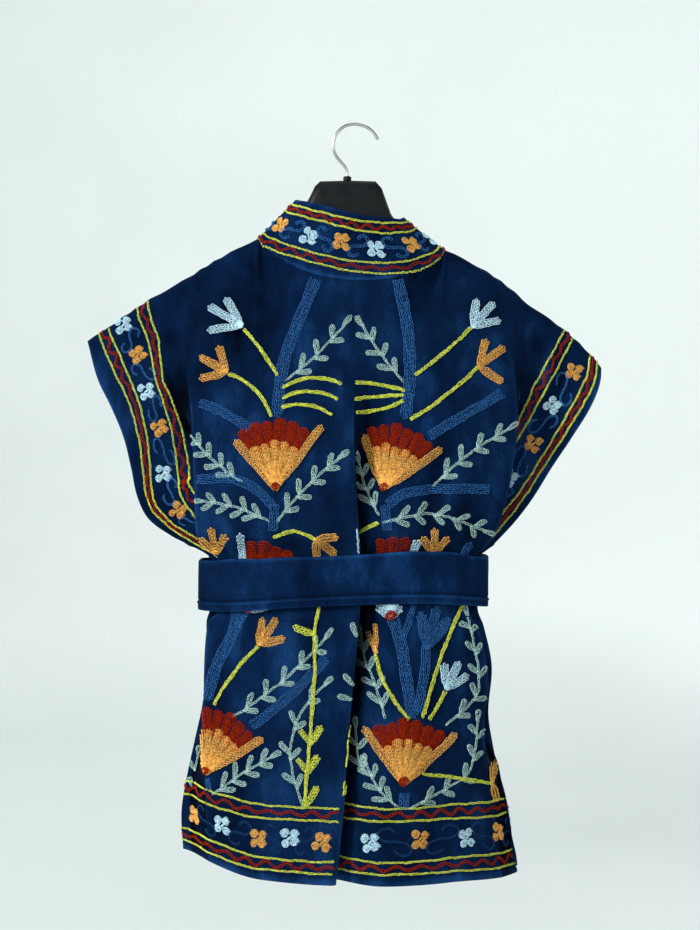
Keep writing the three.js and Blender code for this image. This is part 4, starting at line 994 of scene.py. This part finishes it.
def finger(chart, thread, x, z, heading, length, rows=3, spacing=3.0, lift=0.0):
    """A petal of even width with a round end, narrow where it starts."""
    t = np.linspace(0, 1, 16)
    for k in range(rows):
        off = k - (rows - 1) / 2
        path = np.stack([t * (length - 2.0 * off * off), off * spacing * (0.3 + 0.7 * ease(t * 2.6))], -1)
        row(chart, thread, turned(path, x, z, heading), 3.4, 3.9, lift)


def leaf(chart, x, z, heading, length):
    """A sage leaf drawn as one looped row, widest near its round tip."""
    turn = np.linspace(0.15, 2 * math.pi - 0.15, 30)
    opened = (1 - np.cos(turn)) / 2
    path = np.stack([length * opened, LEAF_HALF * np.sin(turn) * (0.5 + 1.1 * opened)], -1)
    row(chart, "sage", turned(path, x, z, heading), 3.3, 3.2)


def bud(chart, thread, x, z, headings, length, rows=3, spacing=3.0):
    """Petals opening from one foot, the middle one longest."""
    for heading, share in zip(headings, (0.9, 1.06, 0.92)):
        finger(chart, thread, x, z, heading, length * share, rows, spacing, 0.3)


def sprig(chart, path, pairs, size=16.0):
    """A leafy spray in sage thread: a thin spine with leaf pairs and one leaf at its end."""
    run = run_along(path)
    ahead = unit(np.gradient(path, axis=0))

    def leaf_at(share, lean, length):
        x, z, ux, uz = (np.interp(share * run[-1], run, v) for v in (*path.T, *ahead.T))
        leaf(chart, x, z, math.degrees(math.atan2(uz, ux)) + lean, length)
    row(chart, "sage", path[:int(len(path) * 0.94)], 3.2, 3.6)
    for k in range(pairs):
        lean = 42 + 6 * ((2 * k) % 3 - 1)
        leaf_at((k + 0.80) / (pairs + 0.95), lean, size * (1.05 - 0.05 * k))
        leaf_at((k + 0.62) / (pairs + 0.95), -lean, size * (0.98 - 0.04 * k))
    leaf_at(0.9, 4, min(run[-1] * 0.1 + 4, 0.8 * size))


def dot(chart, thread, x, z, radius, lift=0.0):
    """A round filled with one coiled row."""
    rim = max(radius - 1.3, 0.6)
    angle = np.linspace(0, 2 * math.pi * (rim / 2.4 + 0.2), int(9 * rim) + 6)
    spin = mix(rim, 0.5, angle / angle[-1])
    row(chart, thread, np.stack([x + spin * np.cos(angle), z + spin * np.sin(angle)], -1), 2.8, 3.1, lift)


def flower(chart, thread, x, z, size, heading):
    """A border flower: four coiled petals round a small middle."""
    for k in range(4):
        angle = math.radians(heading + 45 + 90 * k + 9 * math.sin(5 * k + heading))
        reach, radius = size * (0.30 + 0.02 * (k % 3 - 1)), size * (0.235 + 0.015 * (k % 2))
        dot(chart, thread, x + reach * math.cos(angle), z + reach * math.sin(angle), radius)
    dot(chart, thread, x, z, size * 0.13)


def lobe(chart, thread, x, z, heading, low, high, width, lift):
    """A fan's lobe between two reaches: rows side by side, raised in the middle, with a round end."""
    count = max(2, round(width / 2.5))
    for k in range(count):
        off = (k - (count - 1) / 2) / (count / 2)
        reach = high - 0.5 * width * (1 - math.sqrt(1 - 0.85 * off * off))
        path = [(low, 0.5 * (width - 1) * off * low / high), (reach, 0.5 * (width - 1) * off)]
        row(chart, thread, turned(path, x, z, heading), 3.0, 3.6, lift + 0.9 * (1 - off * off))


def fan(chart, x, z, heading, radius, opening, wings, petal="orange", heart=5.5):
    """A fan-shaped flower: two long petals, round lobes between them and a crown of red lobes beyond."""
    inner = 0.69 * radius
    fill = opening - 4
    for thread, low, high, lift, pitch in (("red", inner - 9, radius, 0.0, 14), (petal, 5, inner, 0.5, 12)):
        count = max(3, round(2 * math.radians(fill) * high / pitch))
        wide = 2 * fill / count
        for k in range(count):
            across = (k + 0.5) * wide - fill
            reach = high + (1.5 * math.sin(2.3 * k + x) - 0.03 * radius * (across / fill) ** 2)
            lobe(chart, thread, x, z, heading + across, low, reach, math.radians(wide) * high - 0.7, lift)
    for side, share in zip((1, -1), wings):
        finger(chart, petal, x, z, heading + side * opening, radius * share, 3, 2.9, 1.4)
    for lift in (1.8, 2.5):
        dot(chart, "red", *turned([(heart * 0.5, 0)], x, z, heading)[0], heart, lift)


def scroll(chart, thread, a, b, length, height, turn, width):
    """A thin S with both its ends curled in."""
    t = np.linspace(-1, 1, 61)
    swing = 4.7 * np.abs(t) ** 1.5
    path = np.cumsum(np.stack([np.cos(swing), np.sin(swing) * turn], -1), axis=0)
    path -= path[len(t) // 2]
    path *= np.array([length, height]) / np.ptp(path, axis=0)
    row(chart, thread, path + np.array([a, b]), width, 3.8)


def evenly(start, stop, gap):
    """Middles of about equal steps, a little uneven."""
    count = max(1, round((stop - start) / gap))
    return [start + (stop - start) / count * (k + 0.5) + 2.5 * math.sin(4.0 * k) for k in range(count)]


def unbent(chart, a, b):
    """The cloth without an edge's bend, where a place along the edge lies on it and how it is turned."""
    if chart.bend is None:
        return chart, a, b, 0.0
    (x, z), (x1, z1) = chart.bend(np.array([[a, b], [a + 4.0, b]]))
    return chart.within(*chart.between, lambda flat: flat), x, z, math.degrees(math.atan2(z1 - z, x1 - x))


def border(chart, flowers, lines, first, size, wave=24, shift=0.0, curl=3.0, tendril="denim"):
    """An edge's pattern: two pairs of yellow lines, a red wave in each pair, flowers and scrolls between.
    lines holds rows of a place along the edge and how far in the four yellow lines run there."""
    a = np.arange(flowers[0] - 75, flowers[-1] + 75, 2.0)
    lines = np.asarray(lines, float)

    def line(k, place):
        return np.interp(place, lines[:, 0], lines[:, k])
    for k in (1, 2, 3, 4):
        row(chart, "yellow", np.stack([a, line(k, a) + 0.7 * np.sin(a / 37 + 3 * k + shift)], -1), 2.7, 3.9)
    for low, high in ((line(1, a), line(2, a)), (line(3, a), line(4, a))):
        swing = (high - low) * (0.18 + 0.07 * np.sin(a / 29 + low[0])) * np.sin(
            2 * math.pi * a / wave + shift + 1.2 * np.sin(a / 47))
        row(chart, "red", np.stack([a, (low + high) / 2 + swing], -1), 3.9, 3.4)
    for k, place in enumerate(flowers):
        low, high, way = line(2, place), line(3, place), 1 if k % 2 else -1
        middle = 0.5 * (low + high)
        flower_thread = "orange" if (way < 0) == (first == "orange") else "pale_blue"
        flat_chart, x, z, turn = unbent(chart, place, middle + 1.5 * way)
        flower(flat_chart, flower_thread, x, z, size, turn + 11 * math.sin(3.0 * k + shift))
        step = flowers[k + 1] - place if k + 1 < len(flowers) else 38
        length = max(step - size * 0.75, 13)
        scroll(chart, tendril, place + step / 2, middle, length, (high - low) * 0.68, way, curl)


BACK_SEEN = Seen(back, "back", 1)
UPPER = BACK_SEEN.within(LEFT_INNER - 0.05, RIGHT_INNER + 0.05)
LEFT_HALF = BACK_SEEN.within(LEFT_INNER - 0.06, PLEAT_START + 0.05)
RIGHT_HALF = BACK_SEEN.within(PLEAT_START + 0.12, RIGHT_INNER + 0.05)
RIGHT_SKIRT = BACK_SEEN.within(PLEAT_START + 0.12, 1)
LEFT_SIDE = BACK_SEEN.within(-1, LEFT_OUTER + 0.02)
IN_PLEAT = BACK_SEEN.within(PLEAT_START + 0.02, PLEAT_END + 0.1)

# Above the belt, left of the pleat
h = LEFT_HALF
bough(UPPER, curve((-42, -178), (-63, -232), (-77, -274), (-83, -328)), 4)
bud(UPPER, "pale_blue", -122, -228, (121, 149, 186), 42)
stem(UPPER, arc(-120, -232, -83, -283, 0.03))
bud(UPPER, "orange", -138, -279, (109, 150, 193), 34)
stem(UPPER, arc(-136, -281, -89, -328, 0.12))
sprig(UPPER, arc(-74, -289, -6, -222, -0.04), 3)
for ends in ((-77, -297, -14, -293, 0.14), (-77, -308, -18, -309, 0.13), (-78, -318, -24, -326, 0.12)):
    stem(UPPER, arc(*ends))
bough(h, arc(-168, -312, -113, -341, 0.04))
row(h, "pale_blue", curve((2.6, -449), (4.0, -462), (5.2, -476)), 2.6)
fan(h, -84, -406, 92, 75, 38, (0.92, 1.12))
sprig(h, arc(-121, -398, -181, -342, 0.05), 4)
bough(h, curve((-170, -396), (-136, -394), (-108, -404), (-87, -424)))
bough(h, curve((-85, -422), (-86, -436), (-87, -450)))
sprig(h, curve((-91, -440), (-128, -425), (-171, -418)), 4)
sprig(h, arc(-83, -441, -8, -367, 0.04), 4)
bud(h, "orange", -151, -477, (135, 97, 60), 28)
stem(h, arc(-151, -478, -151, -492))
fan(h, -117, -539, 54, 81, 40, (1.07, 0.5), "pale_blue", 6.5)
stem(h, curve((-87, -457), (-64, -451), (-41, -459)))
bud(h, "orange", -41, -459, (5, -40, -88), 27)

# Above the belt, right of the pleat
h = RIGHT_HALF
bough(UPPER, curve((48, -178), (58, -232), (60, -284), (55, -330)), 4)
bud(UPPER, "pale_blue", 129, -229, (80, 48, 14), 36)
stem(UPPER, arc(128, -230, 66, -283, 0.02))
bud(UPPER, "orange", 135, -273, (73, 37, -33), 35)
stem(UPPER, arc(134, -274, 61, -331, 0.03))
sprig(UPPER, arc(53, -290, 5, -222, 0.03), 3)
for ends in ((2, -291, 54, -300, 0.04), (1, -309, 53, -305, 0.02), (2, -323, 53, -311, -0.06)):
    stem(UPPER, arc(*ends))
bough(h, curve((161, -302), (112, -330), (81, -349)))
fan(h, 32, -407, 73, 72, 37, (0.90, 1.06))
sprig(h, curve((84, -403), (126, -366), (176, -336)), 4)
bough(h, curve((36, -422), (54, -411), (86, -406), (146, -406)))
sprig(h, curve((31, -441), (88, -433), (153, -456)), 5)
sprig(h, arc(27, -434, 4, -370, 0.05), 3)
stem(h, arc(26, -442, 4, -453))
bough(h, curve((33, -424), (34, -436), (36, -450)))
fan(h, 39, -547, 88, 91, 17, (0.5, 1.02), "pale_blue", 7)
for heading, length in ((140, 19), (42, 17)):
    finger(h, "pale_blue", 39, -545, heading, length)
bud(h, "orange", 86, -477, (124, 88, 50), 27)
finger(h, "denim", 116, -484, 60, 22)

# Below the belt, left of the pleat
h = LEFT_HALF
bough(h, curve((-128, -530), (-129, -556), (-150, -600), (-160, -636)), 4)
bough(h, arc(-110, -530, -126, -554), 2)
bud(h, "orange", -103, -574, (82, 54, 14), 32)
stem(h, arc(-104, -576, -152, -640, -0.04))
sprig(h, arc(-132, -652, -22, -556, -0.04), 5)
bough(h, arc(-110, -660, -30, -587, -0.03))
fan(h, -160, -713, 72, 70, 39, (0.95, 1.08))
stem(h, curve((-37, -528), (-42, -560), (-42, -600), (-46, -660), (-53, -742)), 1.2)
for x, z, heading, length, rows in (
        (-42, -563, 160, 25, 3), (-46, -677, 128, 19, 2), (-46, -677, 60, 22, 3), (-49, -707, 128, 19, 2),
        (-49, -707, 60, 22, 3), (-51, -740, 57, 23, 3)):
    finger(h, "yellow", x, z, heading, length, rows, 2.4 if rows == 3 else 3.0)
sprig(h, curve((-55, -741), (-68, -690), (-56, -643), (-21, -605)), 4, 15)
sprig(h, arc(-153, -736, -82, -688, 0.03), 4, 17)
bough(h, arc(-158, -720, -157, -732), 2)
sprig(LEFT_SIDE, arc(-176, -752, -171, -694, 0.02), 2, 12)
for x, z, heading in ((3, -565, 112), (-1, -616, 128), (-2, -630, 168)):
    leaf(h, x, z, heading, 15)
for x, z, tall in ((-6, -664, 12), (-8, -686, 28), (-11, -722, 14)):
    stem(h, arc(x, z - tall / 2, x + 1.5, z + tall / 2))

# Below the belt, right of the pleat
h = RIGHT_HALF
bough(h, curve((40, -540), (51, -576), (57, -616), (63, -650)), 4)
bough(h, arc(65, -532, 53, -566), 2)
bud(h, "denim", 78, -578, (98, 74, 50), 44, 4, 2.9)
bough(h, curve((78, -574), (75, -606), (68, -644)))
bud(h, "pale_blue", 99, -622, (95, 64, 30), 31)
stem(h, arc(98, -624, 80, -652, 0.03))
stem(h, curve((121, -529), (111, -548), (93, -589), (73, -650)))
stem(h, curve((23, -583), (29, -606), (43, -632), (58, -651)))
for heading, length in ((92, 31), (112, 25)):
    finger(h, "orange", 24, -583, heading, length, 2, 2.4, 0.3)
fan(h, 52, -719, 83, 68, 42, (1.06, 1.12), heart=6.5)
sprig(h, curve((98, -660), (130, -634), (135, -604), (121, -530)), 5, 15)
sprig(h, curve((46, -742), (28, -726), (10, -694)), 3)
sprig(RIGHT_SKIRT, curve((58, -744), (100, -726), (126, -706), (136, -644)), 5, 15)
bough(h, arc(53, -728, 53, -744))
stem(RIGHT_SKIRT, arc(72, -709, 150, -727, 0.02), 1.2)
bud(RIGHT_SKIRT, "orange", 150, -728, (88, 66, -72), 23)

# In the pleat's mouth and inside it
sprig(h, curve((33, -650), (23, -616), (12, -590), (6, -556)), 4)
sprig(IN_PLEAT, curve((16, -716), (4, -690), (2, -655)), 2)

# Hem border, on the back and carried round on the fronts
HEM_LINES = [(0, 11, 24, 64, 78)]
HEM_ROW = 2.87      # the row on which places along the hem are measured
FLOWER = 23         # size of a border flower; the cuffs' are a little smaller
CUFF_FLOWER, CUFF_WAVE = 22, 21


def up_from_hem(s, b):
    return 3 - b / (UNDERARM - HEM)


hem = Along(back, "back", HEM_ROW, -1, 1, up_from_hem)
left_hem = Along(back, "back", HEM_ROW, -1, PLEAT_START, up_from_hem, hem)
right_hem = Along(back, "back", HEM_ROW, PLEAT_START, 1, up_from_hem, hem)
past_pleat = np.interp(PLEAT_END, back.columns, hem.run)
hem_border = partial(border, lines=HEM_LINES, size=FLOWER, tendril="navy")
hem_border(left_hem, [left_hem.first + a for a in (23, 71, 117, 151, 186, 216)], first="orange")
hem_border(right_hem, [past_pleat + a for a in (67, 121, 178, 224)], first="pale_blue", shift=1.1)
for name, (cloth, _) in fronts.items():
    hem = Along(cloth, f"front_{name}", HEM_ROW, 0, 1, up_from_hem)
    hem_border(hem, evenly(hem.first + 1, hem.last - 1, 42), first="orange", shift=2.2)


# Cuff borders: along each sleeve opening, back and front
TIP = 45                    # how far the sleeve's rounded tip reaches along the opening
NEAR_EDGE, BLEND = 8, 34    # rows within the first follow the tip, and over the second they turn straight


def beside_edge(line, inwards):
    """Turns places along an edge, seen squarely, and in from it into seen places. Rows near the edge follow
    it round the sleeve's tip, and rows further in run straight up to the shoulder."""
    run = run_along(line)
    past_tip = run > TIP
    straight = unit(line[past_tip][0] - line[past_tip][3])
    after = unit(line[-1] - line[-4])
    beyond = 60         # how far the edge is carried on past both its ends
    charts = []
    for kept, before in ((run >= 0, unit(line[0] - line[1])), (past_tip, straight)):
        start, end = line[kept][0] + before * (run[kept][0] + beyond), line[-1] + after * beyond
        way = np.concatenate([[start], line[kept], [end]])
        marks = np.concatenate([[-beyond], run[kept], [run[-1] + beyond]])
        charts.append((marks, *way.T, *unit(np.gradient(way, axis=0)).T))

    def bend(flat):
        along, depth = flat[:, 0], inwards * flat[:, 1]
        places = []
        for marks, *columns in charts:
            x, z, ux, uz = (np.interp(along, marks, column) for column in columns)
            places.append(np.stack([x - uz * depth, z + ux * depth], -1))
        return mix(*places, ease((flat[:, 1:] - NEAR_EDGE) / BLEND))
    return bend


CUFF_LINES = {
    "left": [
        (-45, 14, 34, 79, 96), (0, 15, 33, 70, 84), (35, 20, 34, 69, 81), (80, 22, 32, 59, 66),
        (120, 18, 26, 56, 66), (170, 11, 19, 51, 64), (205, 6, 14, 46, 60), (230, 5, 12, 38, 55),
        (260, 5, 12, 30, 48)],
    "right": [(-40, 5, 15, 55, 66), (0, 6, 16, 54, 66), (60, 9, 18, 54, 66), (110, 8, 17, 50, 60)]}
CUFF_FLOWERS = {"left": (2, 40, 81, 119, 166, 230), "right": (20, 68, 116, 163)}
CUFF_COLUMNS = {"left": (-1.1, LEFT_OUTER + 0.1), "right": (RIGHT_OUTER - 0.1, 1.1)}
cuff_rows = back.rows[back.rows <= 2]
for name, side in SIDE.items():
    opening = back_face(np.full(len(cuff_rows), float(side)), cuff_rows)[:, [0, 2]]
    smooth = np.stack([np.convolve(np.pad(v, 6, "edge"), np.ones(13) / 13, "valid") for v in opening.T], -1)
    smooth[0], smooth[-1] = opening[0], opening[-1]
    bend = beside_edge(smooth, -side)
    cuff = (CUFF_FLOWERS[name], CUFF_LINES[name])
    first = "pale_blue" if side < 0 else "orange"
    border(BACK_SEEN.within(*CUFF_COLUMNS[name], bend), *cuff, first, CUFF_FLOWER, CUFF_WAVE, side)
    seen_front = Seen(fronts[name][0], f"front_{name}", -1, bend)
    border(seen_front, *cuff, "orange", CUFF_FLOWER, CUFF_WAVE, side + 1)

# Collar border, from hem to hem round the neck
collar_width = np.linalg.norm(edge_points(collar.columns, "f") - edge_points(collar.columns, "s"), axis=1)
along_collar = Along(
    collar, "collar", 0.5, FOOT["left"], FOOT["right"],
    lambda s, b: 1 - b / np.interp(s, collar.columns, collar_width))
collar_flowers = [-16 + 39.5 * k + 1.5 * math.sin(4 * k) for k in range(-20, 21)]
border(along_collar, collar_flowers, [(0, 8, 19, 54, 66)], "orange", FLOWER, 22, curl=4.3)


def embroidery(cloth_name, thread_name, loops):
    """All rows of one thread on one cloth as one mesh of small tube loops."""
    loops = np.concatenate(loops)
    rng = np.random.default_rng(len(loops))
    centre, ahead, normal, step = loops[:, 0:3], loops[:, 3:6], loops[:, 6:9], loops[:, 9]
    width = loops[:, 10] * rng.uniform(0.84, 1.1, len(loops))
    aside = np.cross(normal, ahead)
    twist = rng.normal(0, 0.15, len(loops))[:, None]
    ahead, aside = unit(ahead + aside * twist), unit(aside - ahead * twist)
    c, s = circle(LOOP_SIDES)
    across = 0.5 * s * (1 + 0.26 * c)
    middle = (centre[:, None] + ahead[:, None] * (0.62 * c * step[:, None])[..., None]
              + aside[:, None] * (across * (width - 2 * THREAD_RADIUS)[:, None])[..., None])
    rise = THREAD_RADIUS * (1.0 + 0.55 * c) + rng.uniform(-0.08, 0.14, (len(loops), 1))
    middle += normal[:, None] * rise[..., None]
    outward = ahead[:, None] * c[:, None] + aside[:, None] * s[:, None]
    sides = [math.pi / 2, math.pi * 7 / 6, math.pi * 11 / 6]
    verts = np.stack([middle + THREAD_RADIUS * (math.cos(a) * outward + math.sin(a) * normal[:, None])
                      for a in sides], 2)
    corners = LOOP_SIDES * len(sides)
    quads = lattice(LOOP_SIDES, len(sides), ring_rows=True, ring_columns=True)
    faces = (quads[None] + (np.arange(len(loops)) * corners)[:, None, None]).reshape(-1, 4)
    shape = (verts.reshape(-1, 3), faces)
    obj = piece(f"stitches_{cloth_name}_{thread_name}", None, shape, "thread_" + thread_name)
    if cloth_name == "back":
        mark(obj, "shade", np.repeat(pleat_shade(centre[:, 0], centre[:, 2]), corners))


for (cloth_name, thread_name), loops in stitches.items():
    embroidery(cloth_name, thread_name, loops)

# ---- Floor and backdrop in one pale bowl, soft lights, camera level with the belt's upper side (in metres)
FLOOR, FLAT_RADIUS, BEND_RADIUS, WALL_TOP = -1.30, 2.2, 2.4, 2.4
BOWL_SIDES = 96


def pale(name):
    """Matt off-white paper, a little greyer on the floor and to the left."""
    material, tree, shader = nodes_of(name)
    place = node(tree, "ShaderNodeTexCoord", {}).outputs["Object"]
    apart = node(tree, "ShaderNodeSeparateXYZ", {0: place}).outputs
    above_floor = node(tree, "ShaderNodeMapRange", {
        "Value": apart["Z"], "From Min": FLOOR, "From Max": FLOOR + 0.5, "To Min": 0, "To Max": 0.5},
        interpolation_type="SMOOTHSTEP").outputs[0]
    tone = sum_of(tree, noise(tree, (0.8, 0.8, 0.8), 3, 0.5), 0.5, above_floor)
    tone = sum_of(tree, apart["X"], 0.09, tone)
    feed(tree, shader, {
        "Base Color": ramp(tree, tone, (0.2, (0.49, 0.53, 0.52)), (0.8, (0.68, 0.72, 0.71))),
        "Normal": bump(tree, noise(tree, (90, 90, 90), 3, 0.6), 0.002, 0.08),
        "Emission Color": ramp(tree, tone, (0.2, (0.56, 0.60, 0.59)), (0.8, (0.87, 0.92, 0.905))),
        "Emission Strength": 0.352, "Roughness": 0.9, "Specular IOR Level": 0.1})
    return material


profile = [(r, FLOOR) for r in (0.8, 1.6, FLAT_RADIUS)]
profile += [(FLAT_RADIUS + BEND_RADIUS * math.sin(a), FLOOR + BEND_RADIUS * (1 - math.cos(a)))
            for a in np.linspace(0.1, math.pi / 2, 16)]
profile += [(FLAT_RADIUS + BEND_RADIUS, FLOOR + BEND_RADIUS + h) for h in (0.8, 1.6, WALL_TOP)]
radius, height = np.array(profile).T[..., None]
c, s = circle(BOWL_SIDES)
rings = np.stack([radius * c, radius * s, height + 0 * c], -1).reshape(-1, 3)
middle_fan = [(0, 1 + k, 1 + (k + 1) % BOWL_SIDES) for k in range(BOWL_SIDES)]
bowl_faces = middle_fan + (lattice(len(profile), BOWL_SIDES, ring_columns=True) + 1).tolist()
modelled("backdrop", np.concatenate([[(0, 0, FLOOR)], rings]), bowl_faces, pale("backdrop"))


def lamp(name, place, size, power, colour):
    data = bpy.data.lights.new(name, "AREA")
    data.shape, data.size, data.energy, data.color = "DISK", size, power, colour
    obj = added(name, data)
    obj.location = place
    obj.rotation_mode = "QUATERNION"
    obj.rotation_quaternion = (MIDDLE - Vector(place)).to_track_quat("-Z", "Y")


MIDDLE = Vector((0, 0, -0.45))
lamp("window", (-2.5, -2.0, 1.1), 1.0, 152, (0.97, 0.99, 1))
lamp("fill", (2.2, -2.2, 0.2), 1.8, 12, (1, 0.99, 0.97))
lamp("top", (0.1, 0.2, 2.4), 1.4, 12, (1, 1, 1))
lamp("far_side", (-0.8, 2.6, 0.9), 1.8, 26, (0.98, 0.99, 1))
world = bpy.data.worlds.new("room")
world.use_nodes = True
feed(world.node_tree, world.node_tree.nodes["Background"], {"Color": (0.93, 0.97, 1, 1), "Strength": 0.10})
scene = bpy.context.scene
scene.world = world

camera = added("camera", bpy.data.cameras.new("camera"))
camera.data.sensor_width, camera.data.lens = 36, 58.75
camera.location = (-0.0045, -1.7, -0.380)
camera.rotation_euler = (math.pi / 2, 0, 0)
camera.data.clip_start, camera.data.clip_end = 0.05, 60
scene.camera = camera
scene.view_settings.view_transform = "Standard"
